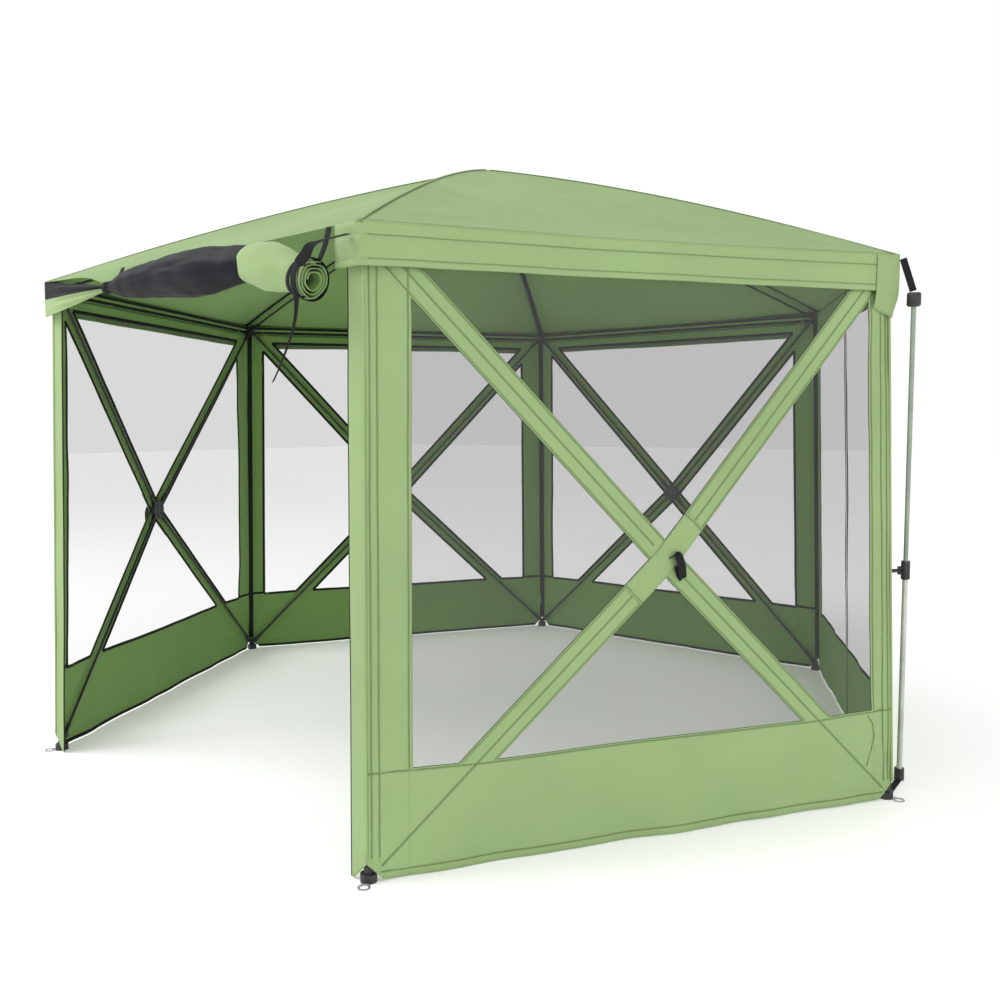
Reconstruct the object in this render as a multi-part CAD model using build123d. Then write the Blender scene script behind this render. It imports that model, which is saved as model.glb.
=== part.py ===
from build123d import *

import os
from math import atan2, cos, degrees, radians, sin, sqrt

# ------------------------------------------------------------ driving dimensions, mm
SIDE = 1750.0  # side of the hexagon at the eave, which is also its corner radius
FOOT_RADIUS = 1805.0  # corner radius on the ground: the walls lean out a little
EAVE_Z = 1820.0  # height of the eave seam
PEAK_Z = 2385.0  # height of the canopy's peak
HIP_RISE = 35.0  # how far the bent roof poles lift each hip at its middle
EAVE_OVERHANG = 32.0  # the canopy's corners stand this far outside the walls' corners
FRAME_INSET = 18.0  # the pole lines run this far inside the cloth's corner lines
HUB_Z = 870.0  # height of the wall hubs
BULGE = 80.0  # how far a popped wall hub stands out of its wall plane
ROOF_HUB_Z = 2340.0
ROOF_TRAVEL = 100.0  # how far the roof hub can be drawn down on its poles

# Cloth panels
CLOTH = 1.2
HEM_Z = 5.0
SKIRT_H = 310.0
LEFT_STRIP = 130.0  # side strips as seen from outside
RIGHT_STRIP = 85.0
TOP_BAND = 95.0
HALF_BAND = 39.0  # half the width of the sleeves that cross each framed wall
BOOT_NOTCH = 50.0  # chamfer at the wall's lower corners, where the boots show
CLOTH_TOP_GAP = 4.0
VALANCE_H = 120.0
VALANCE_LEFT_END = 250.0  # front valance left of the rolled door
VALANCE_RIGHT_END = 100.0  # and right of it
DOOR_JAMB = 60.0
STEM_HOLE_R = 13.0  # opening for the pull tab's stem
DOOR_EDGE = -0.001  # the wall's own edge, as a distance in from it

# Poles, hubs and brackets
POLE_R = 5.5
FERRULE_R = 8.0
FERRULE_L = 30.0
FERRULE_LAP = 8.0
EYE_R = 9.0
EYE_NECK = 15.0
TONGUE = 8.0  # thickness of the flat eyes and tongues on the poles
TONGUE_H = 15.0
CLEVIS_START = 13.0  # from a corner's centre to the block behind the ears
EAR_L = 24.0
EAR_SHIFT = -3.0  # middle of the ears from the pin
PIN_R = 3.0
PIN_FIT = 0.06
PIN_L = 24.0
EAR_FIT = 0.02
EAR_GAP = 0.4
EAR_T = 5.0
EAR_H = 18.0
EYE_REACH = 34.0  # from a corner's centre to the pins of its poles
CORE_R = 14.0
CORE_H = 30.0
TOP_CORE_DROP = 25.0
FOOT_CORE_Z = 30.0
BOOT_R = 24.0
BOOT_H = 24.0
ROOF_POLE_BOW = 22.0
HUB_SLOT_W = 12.0
HUB_PIN_R = 2.5
HUB_SLOT_HALF = 4.0
HUB_END = 8.5
HUB_FLOOR_GAP = 3.0  # left between a tongue's end and the slot's end
SLOT_SPARE = 1.5  # the tongue's slot runs this far past the pin at each end
TAB_STEM_R = 7.0
TAB_SIZE = (44.0, 88.0, 3.0)  # width, length and thickness of a wall's pull tab
TAB_SHIFT = (14.0, -8.0)  # its middle from the hub's
TAB_CLEAR = 2.0  # from the cloth out to the tab

# Door that is rolled up, and door that is zipped shut
ROLL_Z = 1743.0
ROLL_INRADIUS = 1600.0
ROLL_PROFILE = (  # along the roll, and its radius there
    (-340, 27),
    (-295, 27),
    (-190, 46),
    (0, 63),
    (150, 76),
    (270, 78),
    (420, 62),
    (520, 58),
)
HOOD_START = 490.0  # where the green end starts to droop, along the roll
HOOD_DROOP = 15.4  # degrees
HOOD_PROFILE = ((-30, 50), (20, 68), (90, 73), (160, 68), (240, 55), (300, 55))
LEFT_TIE = -318.0
LEFT_TIE_R = 27.0
RIGHT_TIE = 270.0  # along the drooping end
RIGHT_TIE_R = 57.0
TIE_W = 22.0
TIE_T = 2.0
TIE_SLACK = 1.0
ZIP_HALF = 12.0
ZIP_START_Z = 70.0
SLIDER_SIZE = (12.0, 24.0, 6.0)
SLIDER_CLEAR = 0.4
PULL_SIZE = (8.0, 34.0, 2.0)
PULL_AT = (0.0, -22.0, 4.0)

# Propping pole beside the right-hand corner
PROP_FOOT = Vector(1762, 205, 0)
PROP_HEAD = Vector(1836, -2, 1665)
PROP_TUBE_R = 8.0
PROP_SLEEVE_R = 9.5
PROP_SLEEVE_WALL = 1.0
PROP_CLAMP_AT = 745.0
PROP_CLAMP_H = 62.0
PROP_CLAMP_R = 15.0
PROP_SLEEVE_END = 780.0
PROP_TUBE_START = 685.0
PROP_TUBE_TRAVEL = 645.0
PROP_TUBE_WALL = 1.0
PROP_SEAT = 12.0
PROP_FOOT_R = 17.0
PROP_FOOT_H = 42.0
PROP_HEAD_R = 22.0
PROP_HEAD_LOW = 1662.0
PROP_HEAD_HIGH = 1708.0
PROP_HEAD_ROUND = 8.0
PROP_HEAD_END = 12.0  # solid end above the tube
LEVER_PIVOT = 20.5
LEVER_L = 27.0
LEVER_H = 12.0
LEVER_T = 5.0
LEVER_BOSS_R = 4.6
LEVER_TIP_R = 5.0
LEVER_TOWARDS = Vector(-0.73, -0.68, 0)
CLAMP_EAR = (15.0, 11.0, 7.0)
CLAMP_EAR_RISE = 10.0
CLAMP_EAR_REACH = 4.0  # middle of an ear beyond the collar's outside
CLAMP_PIN_HALF = 15.0
WEBBING_W = 22.0
WEBBING_T = 2.0
STRAP_TOP = Vector(SIDE + EAVE_OVERHANG + 14, 6, EAVE_Z - 14)
STRAP_START = Vector(-3, 0, 4)  # from the top of the prop's head
STRAP_FACING = Vector(0.3, -0.95, 0)
STRAP_GAP = 1.0

# Peg rings
RING_R = 18.0
RING_HOLE_R = 13.0
RING_T = 3.5
RING_GAP = 3.0

COS30 = cos(radians(30))
UP = Vector(0, 0, 1)

# Outward bearing of each wall and of each corner, degrees from +X. The doorway faces -Y.
WALLS = {
    "front": -90,
    "front_right": -30,
    "back_right": 30,
    "back": 90,
    "back_left": 150,
    "front_left": 210,
}
CORNERS = {
    "front_left": 240,
    "front_right": 300,
    "right": 0,
    "back_right": 60,
    "back_left": 120,
    "left": 180,
}
FRAMED_WALLS = ("front_right", "back", "back_left", "front_left")


def polar(bearing, radius, z):
    return Vector(radius * cos(radians(bearing)), radius * sin(radians(bearing)), z)


def corner_radius(z):
    """Radius of the cloth's corner line at a height."""
    return FOOT_RADIUS + (SIDE - FOOT_RADIUS) * z / EAVE_Z


def frame_corner(bearing, top):
    """Centre of a corner bracket, where the lines of its poles meet."""
    z = EAVE_Z - TOP_CORE_DROP if top else FOOT_CORE_Z
    return polar(bearing, corner_radius(z) - FRAME_INSET, z)


# ------------------------------------------------------------ walls
def wall_plane(bearing, inset=0.0):
    """Plane of a wall's cloth: X to the right seen from outside, Y up the wall, Z outward."""
    foot = polar(bearing, FOOT_RADIUS * COS30, 0)
    head = polar(bearing, SIDE * COS30, EAVE_Z)
    right = Vector(-sin(radians(bearing)), cos(radians(bearing)), 0)
    outward = right.cross(head - foot).normalized()
    return Plane(origin=foot - outward * inset, x_dir=right, z_dir=outward)


LEAN = sqrt(EAVE_Z**2 + ((FOOT_RADIUS - SIDE) * COS30) ** 2) / EAVE_Z  # wall length per unit of height
POLE_INSET = FRAME_INSET * COS30 / LEAN  # from the cloth in to the plane of the pole pivots
WALL_TOP = (EAVE_Z - CLOTH_TOP_GAP) * LEAN
HEM = HEM_Z * LEAN
HUB_UP = HUB_Z * LEAN


def half_width(up):
    return corner_radius(up / LEAN) / 2


def meet(p, d, q, e):
    """Where the line through p along d meets the line through q along e, in a wall's plane."""
    cross = d.X * e.Y - d.Y * e.X
    t = ((q.X - p.X) * e.Y - (q.Y - p.Y) * e.X) / cross
    return p + d * t


def panel(plane, outline, lift=None):
    """Flat piece of cloth, its corners raised out of the wall's plane by lift."""
    points = [plane.from_local_coords(Vector(p.X, p.Y, lift(p) if lift else 0)) for p in outline]
    return Solid.extrude(Face(Wire.make_polygon(points)), plane.z_dir * CLOTH)


def framed_wall(bearing):
    """Cloth and mesh of a wall that its hub pushes out into a low four-sided pyramid.

    The skirt runs the wall's full width, so it cuts the low ends off the two side windows.
    """
    plane = wall_plane(bearing)
    hub = Vector(0, HUB_UP)
    low = half_width(HEM)
    high = half_width(WALL_TOP)
    corners = (Vector(-low, HEM), Vector(low, HEM), Vector(high, WALL_TOP), Vector(-high, WALL_TOP))
    strips = (SKIRT_H, RIGHT_STRIP, TOP_BAND, LEFT_STRIP)
    skirt_top = Vector(0, HEM + SKIRT_H)
    cloth = []
    mesh = []
    for i, strip in enumerate(strips):
        a = corners[i]
        b = corners[(i + 1) % 4]
        edge = (b - a).normalized()
        inward = Vector(-edge.Y, edge.X)
        depth = (hub - a).dot(inward)

        def lift(p):
            return BULGE * (p - a).dot(inward) / depth

        to_hub_a = (hub - a).normalized()
        to_hub_b = (hub - b).normalized()
        side_a = to_hub_a.rotate(Axis.Z, -90)
        side_b = to_hub_b.rotate(Axis.Z, 90)
        line = a + inward * strip
        on_a = meet(a, to_hub_a, line, edge)
        on_b = meet(b, to_hub_b, line, edge)
        band_a = meet(a + side_a * HALF_BAND, to_hub_a, line, edge)
        band_b = meet(b + side_b * HALF_BAND, to_hub_b, line, edge)
        tip = meet(band_a, to_hub_a, band_b, to_hub_b)
        middle = (tip - hub).normalized() * STEM_HOLE_R
        cloth.append(panel(plane, notched(a, b, on_b, on_a, corners), lift))
        cloth.append(panel(plane, (on_a, band_a, tip, hub + middle, hub - to_hub_a * STEM_HOLE_R), lift))
        cloth.append(panel(plane, (on_b, hub - to_hub_b * STEM_HOLE_R, hub + middle, tip, band_b), lift))
        if edge.Y == 0:
            mesh.append(panel(plane, (band_a, band_b, tip), lift))
            continue
        going_up = edge.Y > 0
        low_corner = band_a if going_up else band_b
        to_hub_low = to_hub_a if going_up else to_hub_b
        on_strip = meet(line, edge, skirt_top, Vector(1, 0))
        on_band = meet(low_corner, to_hub_low, skirt_top, Vector(1, 0))
        if going_up:
            cloth.append(panel(plane, (low_corner, on_strip, on_band), lift))
            mesh.append(panel(plane, (on_strip, band_b, tip, on_band), lift))
        else:
            cloth.append(panel(plane, (on_strip, low_corner, on_band), lift))
            mesh.append(panel(plane, (band_a, on_strip, on_band, tip), lift))
    return cloth, mesh


def notched(a, b, on_b, on_a, corners):
    """Outline of an edge strip, cut off at the wall's two lower corners to clear the boots."""
    outline = []
    for here, there, inner in ((a, b, on_a), (b, a, on_b)):
        if here.Y > HUB_UP:
            outline.append([here])
            continue
        along = (there - here).normalized()
        lower = corners[0] if here.X < 0 else corners[1]
        upper = corners[3] if here.X < 0 else corners[2]
        other = corners[1] if here.X < 0 else corners[0]
        cut_low = lower + (other - lower).normalized() * BOOT_NOTCH
        cut_up = lower + (upper - lower).normalized() * BOOT_NOTCH
        cut_mid = meet(here, inner - here, cut_low, cut_up - cut_low)
        outline.append([cut_mid, here + along * BOOT_NOTCH])
    return outline[0] + outline[1][::-1] + [on_b, on_a]


def flat_quad(plane, side, outer, inner, low, high, notch=0.0):
    """Upright piece of flat wall between two distances from its middle or its edge."""

    def at(distance, up):
        x = distance if distance >= 0 else half_width(up) + distance
        return Vector(side * x, up)

    outline = [at(inner, low), at(outer, low), at(outer, high), at(inner, high)]
    if notch:
        outline[1:2] = [at(outer - notch, low), at(outer, low + notch)]
    if side < 0:
        outline.reverse()
    return panel(plane, outline)


def zipped_door():
    """The closed door wall: skirt, side strips and top band, in halves each side of its zip."""
    plane = wall_plane(WALLS["back_right"])
    skirt_top = HEM + SKIRT_H
    band_low = WALL_TOP - TOP_BAND
    cloth = []
    mesh = []
    for side in (-1, 1):
        cloth.append(flat_quad(plane, side, DOOR_EDGE, ZIP_HALF, HEM, skirt_top, BOOT_NOTCH))
        cloth.append(flat_quad(plane, side, DOOR_EDGE, -LEFT_STRIP, skirt_top, band_low))
        cloth.append(flat_quad(plane, side, DOOR_EDGE, ZIP_HALF, band_low, WALL_TOP))
        mesh.append(flat_quad(plane, side, -LEFT_STRIP, ZIP_HALF, skirt_top, band_low))
    low = [Vector(-ZIP_HALF, HEM), Vector(ZIP_HALF, HEM)]
    high = [Vector(ZIP_HALF, WALL_TOP), Vector(-ZIP_HALF, WALL_TOP)]
    return cloth, mesh, [panel(plane, low + high)]


def door_jambs():
    """Narrow strips of wall left each side of the open doorway."""
    plane = wall_plane(WALLS["front"])
    return [flat_quad(plane, side, DOOR_EDGE, -DOOR_JAMB, HEM, WALL_TOP, BOOT_NOTCH) for side in (-1, 1)]


def zip_slider():
    """Slider body with its hanging pull, just clear of the tape."""
    place = wall_plane(WALLS["back_right"]) * Pos(0, ZIP_START_Z, CLOTH + SLIDER_CLEAR)
    body = Pos(0, 0, SLIDER_SIZE[2] / 2) * Box(*SLIDER_SIZE)
    pull = Pos(*PULL_AT) * Box(*PULL_SIZE)
    return place * (body + pull)


# ------------------------------------------------------------ canopy
def canopy():
    """Six gores, each a lower and an upper flat, folded where the bent hips are highest."""
    outer = SIDE + EAVE_OVERHANG
    middle_z = (EAVE_Z + PEAK_Z) / 2 + HIP_RISE
    gores = []
    for bearing in WALLS.values():
        eave = [polar(bearing + turn, outer, EAVE_Z) for turn in (-30, 30)]
        middle = [polar(bearing + turn, outer / 2, middle_z) for turn in (-30, 30)]
        peak = Vector(0, 0, PEAK_Z)
        lower = Wire.make_polygon([eave[0], eave[1], middle[1], middle[0]])
        upper = Wire.make_polygon([middle[0], middle[1], peak])
        gores.extend(Solid.extrude(Face(wire), UP * CLOTH) for wire in (lower, upper))
    return gores


def valance():
    """Strip that hangs from the eave all round, left out where the rolled door takes its place."""
    half = (SIDE + EAVE_OVERHANG) / 2
    top = EAVE_Z - CLOTH_TOP_GAP / 2
    spans = {name: ((-half, half),) for name in WALLS if name != "front"}
    spans["front"] = ((-half, -half + VALANCE_LEFT_END), (half - VALANCE_RIGHT_END, half))
    strips = []
    for name, stretches in spans.items():
        bearing = WALLS[name]
        right = Vector(-sin(radians(bearing)), cos(radians(bearing)), 0)
        plane = Plane(origin=polar(bearing, half * 2 * COS30, top - VALANCE_H / 2), x_dir=right, z_dir=UP)
        for start, end in stretches:
            strip = Pos((start + end) / 2, -CLOTH / 2, 0) * Box(end - start - CLOTH, CLOTH, VALANCE_H)
            strips.append(plane * strip)
    return strips


# ------------------------------------------------------------ poles and their fittings
def pole_frame(core, pin, outward):
    """Frame at a pole's corner pin: X along the pole, Z square to it on the outward side."""
    along = (pin - core).normalized()
    hinge = along.cross(outward).normalized()
    return Plane(origin=core + along * EYE_REACH, x_dir=along, z_dir=hinge.cross(along))


def round_bar(radius, length, at, turn):
    return Pos(*at) * Rot(*turn) * Cylinder(radius, length)


ALONG_X = (0, 90, 0)
ALONG_Y = (90, 0, 0)


def pole(span, reach, slack, bow=0.0):
    """Rod with a round eye at its corner end and a slotted tongue at its hub end."""
    eye = round_bar(EYE_R, TONGUE, (0, 0, 0), ALONG_Y)
    eye += Pos(EYE_NECK / 2, 0, 0) * Box(EYE_NECK, TONGUE, TONGUE_H)
    eye -= round_bar(PIN_R + PIN_FIT, TONGUE * 2, (0, 0, 0), ALONG_Y)
    corner_ferrule = round_bar(FERRULE_R, FERRULE_L, (EYE_NECK + FERRULE_L / 2, 0, 0), ALONG_X)
    hub_ferrule = round_bar(FERRULE_R, FERRULE_L, (span - reach - FERRULE_L / 2, 0, 0), ALONG_X)
    tongue = Pos(span + (HUB_END - reach) / 2, 0, 0) * Box(reach + HUB_END, TONGUE, TONGUE_H)
    slot_start = span - slack - SLOT_SPARE
    slot_end = span + SLOT_SPARE
    slot_l = slot_end - slot_start
    tongue -= Pos(slot_start + slot_l / 2, 0, 0) * Box(slot_l, TONGUE * 2, 2 * HUB_SLOT_HALF)
    for x in (slot_start, slot_end):
        tongue -= round_bar(HUB_SLOT_HALF, TONGUE * 2, (x, 0, 0), ALONG_Y)
    start = EYE_NECK + FERRULE_L - FERRULE_LAP
    end = span - reach - FERRULE_L + FERRULE_LAP
    if bow:
        middle = Vector((start + end) / 2, 0, bow)
        arc = Edge.make_three_point_arc(Vector(start, 0, 0), middle, Vector(end, 0, 0))
        rod = sweep(Plane(origin=arc @ 0, z_dir=arc % 0) * Circle(POLE_R), path=arc)
    else:
        rod = round_bar(POLE_R, end - start, ((start + end) / 2, 0, 0), ALONG_X)
    return eye + corner_ferrule + rod + hub_ferrule + tongue


def clevis():
    """Two ears and the block behind them, in the frame of the pole they hold."""
    ear_in = TONGUE / 2 + EAR_GAP
    block_l = EYE_REACH - CLEVIS_START
    block = Pos(-CLEVIS_START - block_l / 2, 0, 0) * Box(block_l, 2 * (ear_in + EAR_T), EAR_H)
    part = block
    for side in (-1, 1):
        part += Pos(EAR_SHIFT, side * (ear_in + EAR_T / 2), 0) * Box(EAR_L, EAR_T, EAR_H)
    return part - round_bar(PIN_R + EAR_FIT, 4 * PIN_L, (0, 0, 0), ALONG_Y)


WALL_HUB = {"pin_circle": 34.0, "radius": 44.0, "thick": 16.0, "reach": 32.0, "slack": 3.0}
ROOF_HUB = {"pin_circle": 62.0, "radius": 78.0, "thick": 20.0, "reach": 60.0, "slack": 29.0}


def hub_solid(plane, bearings, sizes):
    """Round hub with an open slot for each pole's tongue and a pin across each slot."""
    inner = sizes["pin_circle"] - HUB_END - sizes["slack"] - HUB_FLOOR_GAP
    body = Cylinder(sizes["radius"], sizes["thick"])
    for bearing in bearings:
        body -= Rot(0, 0, bearing) * Pos(inner + sizes["radius"] / 2, 0, 0) * Box(
            sizes["radius"], HUB_SLOT_W, 3 * sizes["thick"]
        )
    for bearing in bearings:
        pin = round_bar(HUB_PIN_R, HUB_SLOT_W + 8, (sizes["pin_circle"], 0, 0), ALONG_Y)
        body += Rot(0, 0, bearing) * pin
    return plane * body


def wall_hub_frame(bearing):
    plane = wall_plane(bearing, POLE_INSET)
    middle = plane.from_local_coords(Vector(0, HUB_UP, BULGE))
    return Plane(origin=middle, x_dir=plane.x_dir, z_dir=plane.z_dir)


def wall_poles(wall):
    """Name, corner, level, frame and span of the four poles of a framed wall."""
    bearing = WALLS[wall]
    hub = wall_hub_frame(bearing)
    found = []
    for side, turn in (("left", -30), ("right", 30)):
        for level, top in (("upper", True), ("lower", False)):
            core = frame_corner(bearing + turn, top)
            flat = hub.to_local_coords(core)
            toward = Vector(flat.X, flat.Y).normalized() * WALL_HUB["pin_circle"]
            pin = hub.from_local_coords(toward)
            frame = pole_frame(core, pin, hub.z_dir)
            span = (pin - frame.origin).length
            found.append((f"pole_{wall}_{level}_{side}", (bearing + turn) % 360, top, frame, span))
    return found


def roof_poles():
    found = []
    for corner, bearing in CORNERS.items():
        core = frame_corner(bearing, True)
        pin = polar(bearing, ROOF_HUB["pin_circle"], ROOF_HUB_Z)
        frame = pole_frame(core, pin, UP)
        found.append((f"roof_pole_{corner}", bearing % 360, True, frame, (pin - frame.origin).length))
    return found


def pull_tab(bearing):
    """Flat webbing tab outside the cloth, on a short stem through the hub's middle."""
    hub = wall_hub_frame(bearing)
    face = POLE_INSET + CLOTH + TAB_CLEAR
    stem_start = WALL_HUB["thick"] / 2
    stem = Pos(0, 0, (stem_start + face) / 2) * Cylinder(TAB_STEM_R, face - stem_start)
    tab = Pos(*TAB_SHIFT, face + TAB_SIZE[2] / 2) * Box(*TAB_SIZE)
    return hub * (stem + tab)


def bracket(bearing, top, poles):
    """Corner bracket: a core with one clevis for each pole that meets there."""
    core = frame_corner(bearing, top)
    part = Pos(core) * Cylinder(CORE_R, CORE_H)
    for _, pole_bearing, pole_top, frame, _ in poles:
        if pole_bearing == bearing % 360 and pole_top == top:
            part += frame * clevis()
    if not top:
        part += Pos(core.X, core.Y, BOOT_H / 2) * Cylinder(BOOT_R, BOOT_H)
        part += Pos(core.X, core.Y, (BOOT_H + core.Z) / 2) * Cylinder(CORE_R, core.Z - BOOT_H)
    return part


def peg_ring(bearing):
    """Flat ring for a ground peg, lying beside a boot, and the webbing that holds it."""
    core = frame_corner(bearing, False)
    inner = sqrt(core.X**2 + core.Y**2) + BOOT_R
    place = Rot(0, 0, bearing)
    centre = inner + RING_GAP + RING_R
    ring = Pos(centre, 0, RING_T / 2) * (Cylinder(RING_R, RING_T) - Cylinder(RING_HOLE_R, 2 * RING_T))
    tab_l = RING_GAP + RING_R - RING_HOLE_R
    tab = Pos(inner + (tab_l + TIE_SLACK) / 2, 0, RING_T + WEBBING_T / 2) * Box(tab_l, WEBBING_W, WEBBING_T)
    return [place * ring, place * tab]


# ------------------------------------------------------------ rolled door
def roll_plane():
    return Plane(origin=polar(WALLS["front"], ROLL_INRADIUS, ROLL_Z), x_dir=(1, 0, 0), z_dir=(0, -1, 0))


def hood_plane():
    level = roll_plane()
    along = level.x_dir.rotate(Axis.Y, HOOD_DROOP)
    return Plane(origin=level.origin + level.x_dir * HOOD_START, x_dir=along, z_dir=level.z_dir)


def bundle(plane, profile):
    """Solid of revolution about a plane's X axis."""
    edge = [Vector(x, r, 0) for x, r in profile]
    outline = Wire.make_polygon([Vector(profile[0][0], 0, 0), *edge, Vector(profile[-1][0], 0, 0)])
    return plane * revolve(Face(outline), Axis.X, 360)


def rolled_door():
    """The door panel rolled up outside the eave, its right-hand end drooping."""
    return bundle(roll_plane(), ROLL_PROFILE) + bundle(hood_plane(), HOOD_PROFILE)


def door_ties():
    """Two webbing loops round the roll, each hung from the canopy's edge."""
    ties = []
    for plane, x, radius in ((roll_plane(), LEFT_TIE, LEFT_TIE_R), (hood_plane(), RIGHT_TIE, RIGHT_TIE_R)):
        bore = radius + TIE_SLACK
        loop = round_bar(bore + TIE_T, TIE_W, (0, 0, 0), ALONG_X)
        loop -= round_bar(bore, 2 * TIE_W, (0, 0, 0), ALONG_X)
        middle = plane.from_local_coords(Vector(x, 0, 0))
        eave = Vector(middle.X, 1 - (SIDE + EAVE_OVERHANG) * COS30, EAVE_Z - CLOTH_TOP_GAP / 2)
        towards = (eave - middle).normalized()
        hanger = strap(middle + towards * (bore + TIE_T / 2), eave, towards.cross(Vector(1, 0, 0)))
        ties.append(plane * Pos(x, 0, 0) * loop + hanger)
    return ties


def strap(start, end, facing):
    """Straight piece of webbing between two points."""
    along = (end - start).normalized()
    plane = Plane(origin=(start + end) / 2, x_dir=along, z_dir=facing - along * facing.dot(along))
    return plane * Box((end - start).length, WEBBING_W, WEBBING_T)


# ------------------------------------------------------------ propping pole
def prop_plane(distance=0.0):
    """Frame along the propping pole, its X towards the clamp's lever."""
    along = (PROP_HEAD - PROP_FOOT).normalized()
    sideways = LEVER_TOWARDS - along * LEVER_TOWARDS.dot(along)
    return Plane(origin=PROP_FOOT + along * distance, x_dir=sideways, z_dir=along)


def upright(radius, low, high):
    return Pos(0, 0, (low + high) / 2) * Cylinder(radius, high - low)


def prop_sleeve():
    bore = PROP_SLEEVE_R - PROP_SLEEVE_WALL
    sleeve = upright(PROP_SLEEVE_R, PROP_SEAT, PROP_SLEEVE_END)
    return prop_plane() * (sleeve - upright(bore, 0, 2 * PROP_SLEEVE_END))


def prop_tube():
    bore = PROP_TUBE_R - PROP_TUBE_WALL
    tube = upright(PROP_TUBE_R, PROP_TUBE_START, PROP_HEAD_HIGH - PROP_HEAD_END)
    return prop_plane() * (tube - upright(bore, 0, 2 * PROP_HEAD_HIGH))


def prop_clamp():
    """Collar on the sleeve's top end, with two ears and the pin of its lever."""
    top = PROP_CLAMP_AT + PROP_CLAMP_H
    middle = (PROP_CLAMP_AT + top) / 2
    body = upright(PROP_CLAMP_R, PROP_CLAMP_AT, top)
    for rise in (-CLAMP_EAR_RISE, CLAMP_EAR_RISE):
        body += Pos(PROP_CLAMP_R + CLAMP_EAR_REACH, 0, middle + rise) * Box(*CLAMP_EAR)
    body -= upright(PROP_SLEEVE_R, 0, PROP_SLEEVE_END)
    body -= upright(PROP_TUBE_R + PIN_FIT, 0, 2 * top)
    bore_half = CLAMP_PIN_HALF + SLOT_SPARE
    body -= Pos(LEVER_PIVOT, 0, 0) * upright(HUB_PIN_R + EAR_FIT, middle - bore_half, middle + bore_half)
    pin = Pos(LEVER_PIVOT, 0, 0) * upright(HUB_PIN_R, middle - CLAMP_PIN_HALF, middle + CLAMP_PIN_HALF)
    return [prop_plane() * body, prop_plane() * pin]


def prop_lever():
    middle = PROP_CLAMP_AT + PROP_CLAMP_H / 2
    lever = Cylinder(LEVER_BOSS_R, LEVER_H) + Pos(LEVER_L / 2, 0, 0) * Box(LEVER_L, LEVER_T, LEVER_H)
    lever += Pos(LEVER_L, 0, 0) * Cylinder(LEVER_TIP_R, LEVER_H)
    lever -= Cylinder(HUB_PIN_R + PIN_FIT, 2 * LEVER_H)
    return prop_plane() * Pos(LEVER_PIVOT, 0, middle) * lever


def prop_foot():
    """Block under the sleeve, flat on the ground."""
    block = Pos(PROP_FOOT.X, PROP_FOOT.Y, PROP_FOOT_H / 2) * Cylinder(PROP_FOOT_R, PROP_FOOT_H)
    return block - prop_plane() * upright(PROP_SLEEVE_R, PROP_SEAT, PROP_SLEEVE_END)


def prop_head():
    cap = upright(PROP_HEAD_R, PROP_HEAD_LOW, PROP_HEAD_HIGH)
    cap = fillet(cap.edges().filter_by(GeomType.CIRCLE), PROP_HEAD_ROUND)
    return prop_plane() * (cap - upright(PROP_TUBE_R, 0, PROP_HEAD_HIGH - PROP_HEAD_END))


def prop_straps():
    """The strap up to the canopy's corner, and the strap along the ground to the boot."""
    head_top = prop_plane(PROP_HEAD_HIGH).origin
    upper = strap(head_top + STRAP_START, STRAP_TOP, STRAP_FACING)
    boot = frame_corner(CORNERS["right"], False)
    low = PROP_FOOT + UP * WEBBING_T
    gap = Vector(boot.X, boot.Y, low.Z) - low
    along = gap.normalized()
    lower = strap(low + along * (PROP_FOOT_R + STRAP_GAP), low + gap - along * (BOOT_R + STRAP_GAP), UP)
    return upper, lower


# ------------------------------------------------------------ the assembly
def build():
    """Every named piece, as a list of solids for each."""
    pieces = {}
    poles = roof_poles()
    for wall in FRAMED_WALLS:
        bearing = WALLS[wall]
        own = wall_poles(wall)
        poles += own
        hub = wall_hub_frame(bearing)
        arms = []
        for name, _, _, frame, span in own:
            pieces[name] = [frame * pole(span, WALL_HUB["reach"], WALL_HUB["slack"])]
            arm = hub.to_local_coords(frame.origin)
            arms.append(degrees(atan2(arm.Y, arm.X)))
        pieces[f"hub_{wall}"] = [hub_solid(hub, arms, WALL_HUB)]
        pieces[f"pull_tab_{wall}"] = [pull_tab(bearing)]
        pieces[f"wall_cloth_{wall}"], pieces[f"wall_mesh_{wall}"] = framed_wall(bearing)
    for name, _, _, frame, span in roof_poles():
        pieces[name] = [frame * pole(span, ROOF_HUB["reach"], ROOF_HUB["slack"], ROOF_POLE_BOW)]
    roof_hub_plane = Plane(origin=(0, 0, ROOF_HUB_Z))
    pieces["roof_hub"] = [hub_solid(roof_hub_plane, list(CORNERS.values()), ROOF_HUB)]
    pieces["corner_brackets"] = [bracket(bearing, True, poles) for bearing in CORNERS.values()]
    pieces["corner_boots"] = [bracket(bearing, False, poles) for bearing in CORNERS.values()]
    pieces["corner_pins"] = [entry[3] * round_bar(PIN_R, PIN_L, (0, 0, 0), ALONG_Y) for entry in poles]
    pieces["peg_rings"] = [piece for bearing in CORNERS.values() for piece in peg_ring(bearing)]
    pieces["door_cloth"], pieces["door_mesh"], pieces["door_zip_tape"] = zipped_door()
    pieces["door_zip_slider"] = [zip_slider()]
    pieces["doorway_jambs"] = door_jambs()
    pieces["rolled_door"] = [rolled_door()]
    pieces["rolled_door_ties"] = door_ties()
    pieces["canopy"] = canopy()
    pieces["valance"] = valance()
    pieces["prop_sleeve"] = [prop_sleeve()]
    pieces["prop_tube"] = [prop_tube()]
    pieces["prop_clamp"] = prop_clamp()
    pieces["prop_lever"] = [prop_lever()]
    pieces["prop_foot"] = [prop_foot()]
    pieces["prop_head"] = [prop_head()]
    upper, lower = prop_straps()
    pieces["prop_head_strap"] = [upper]
    pieces["prop_foot_strap"] = [lower]
    return pieces


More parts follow.
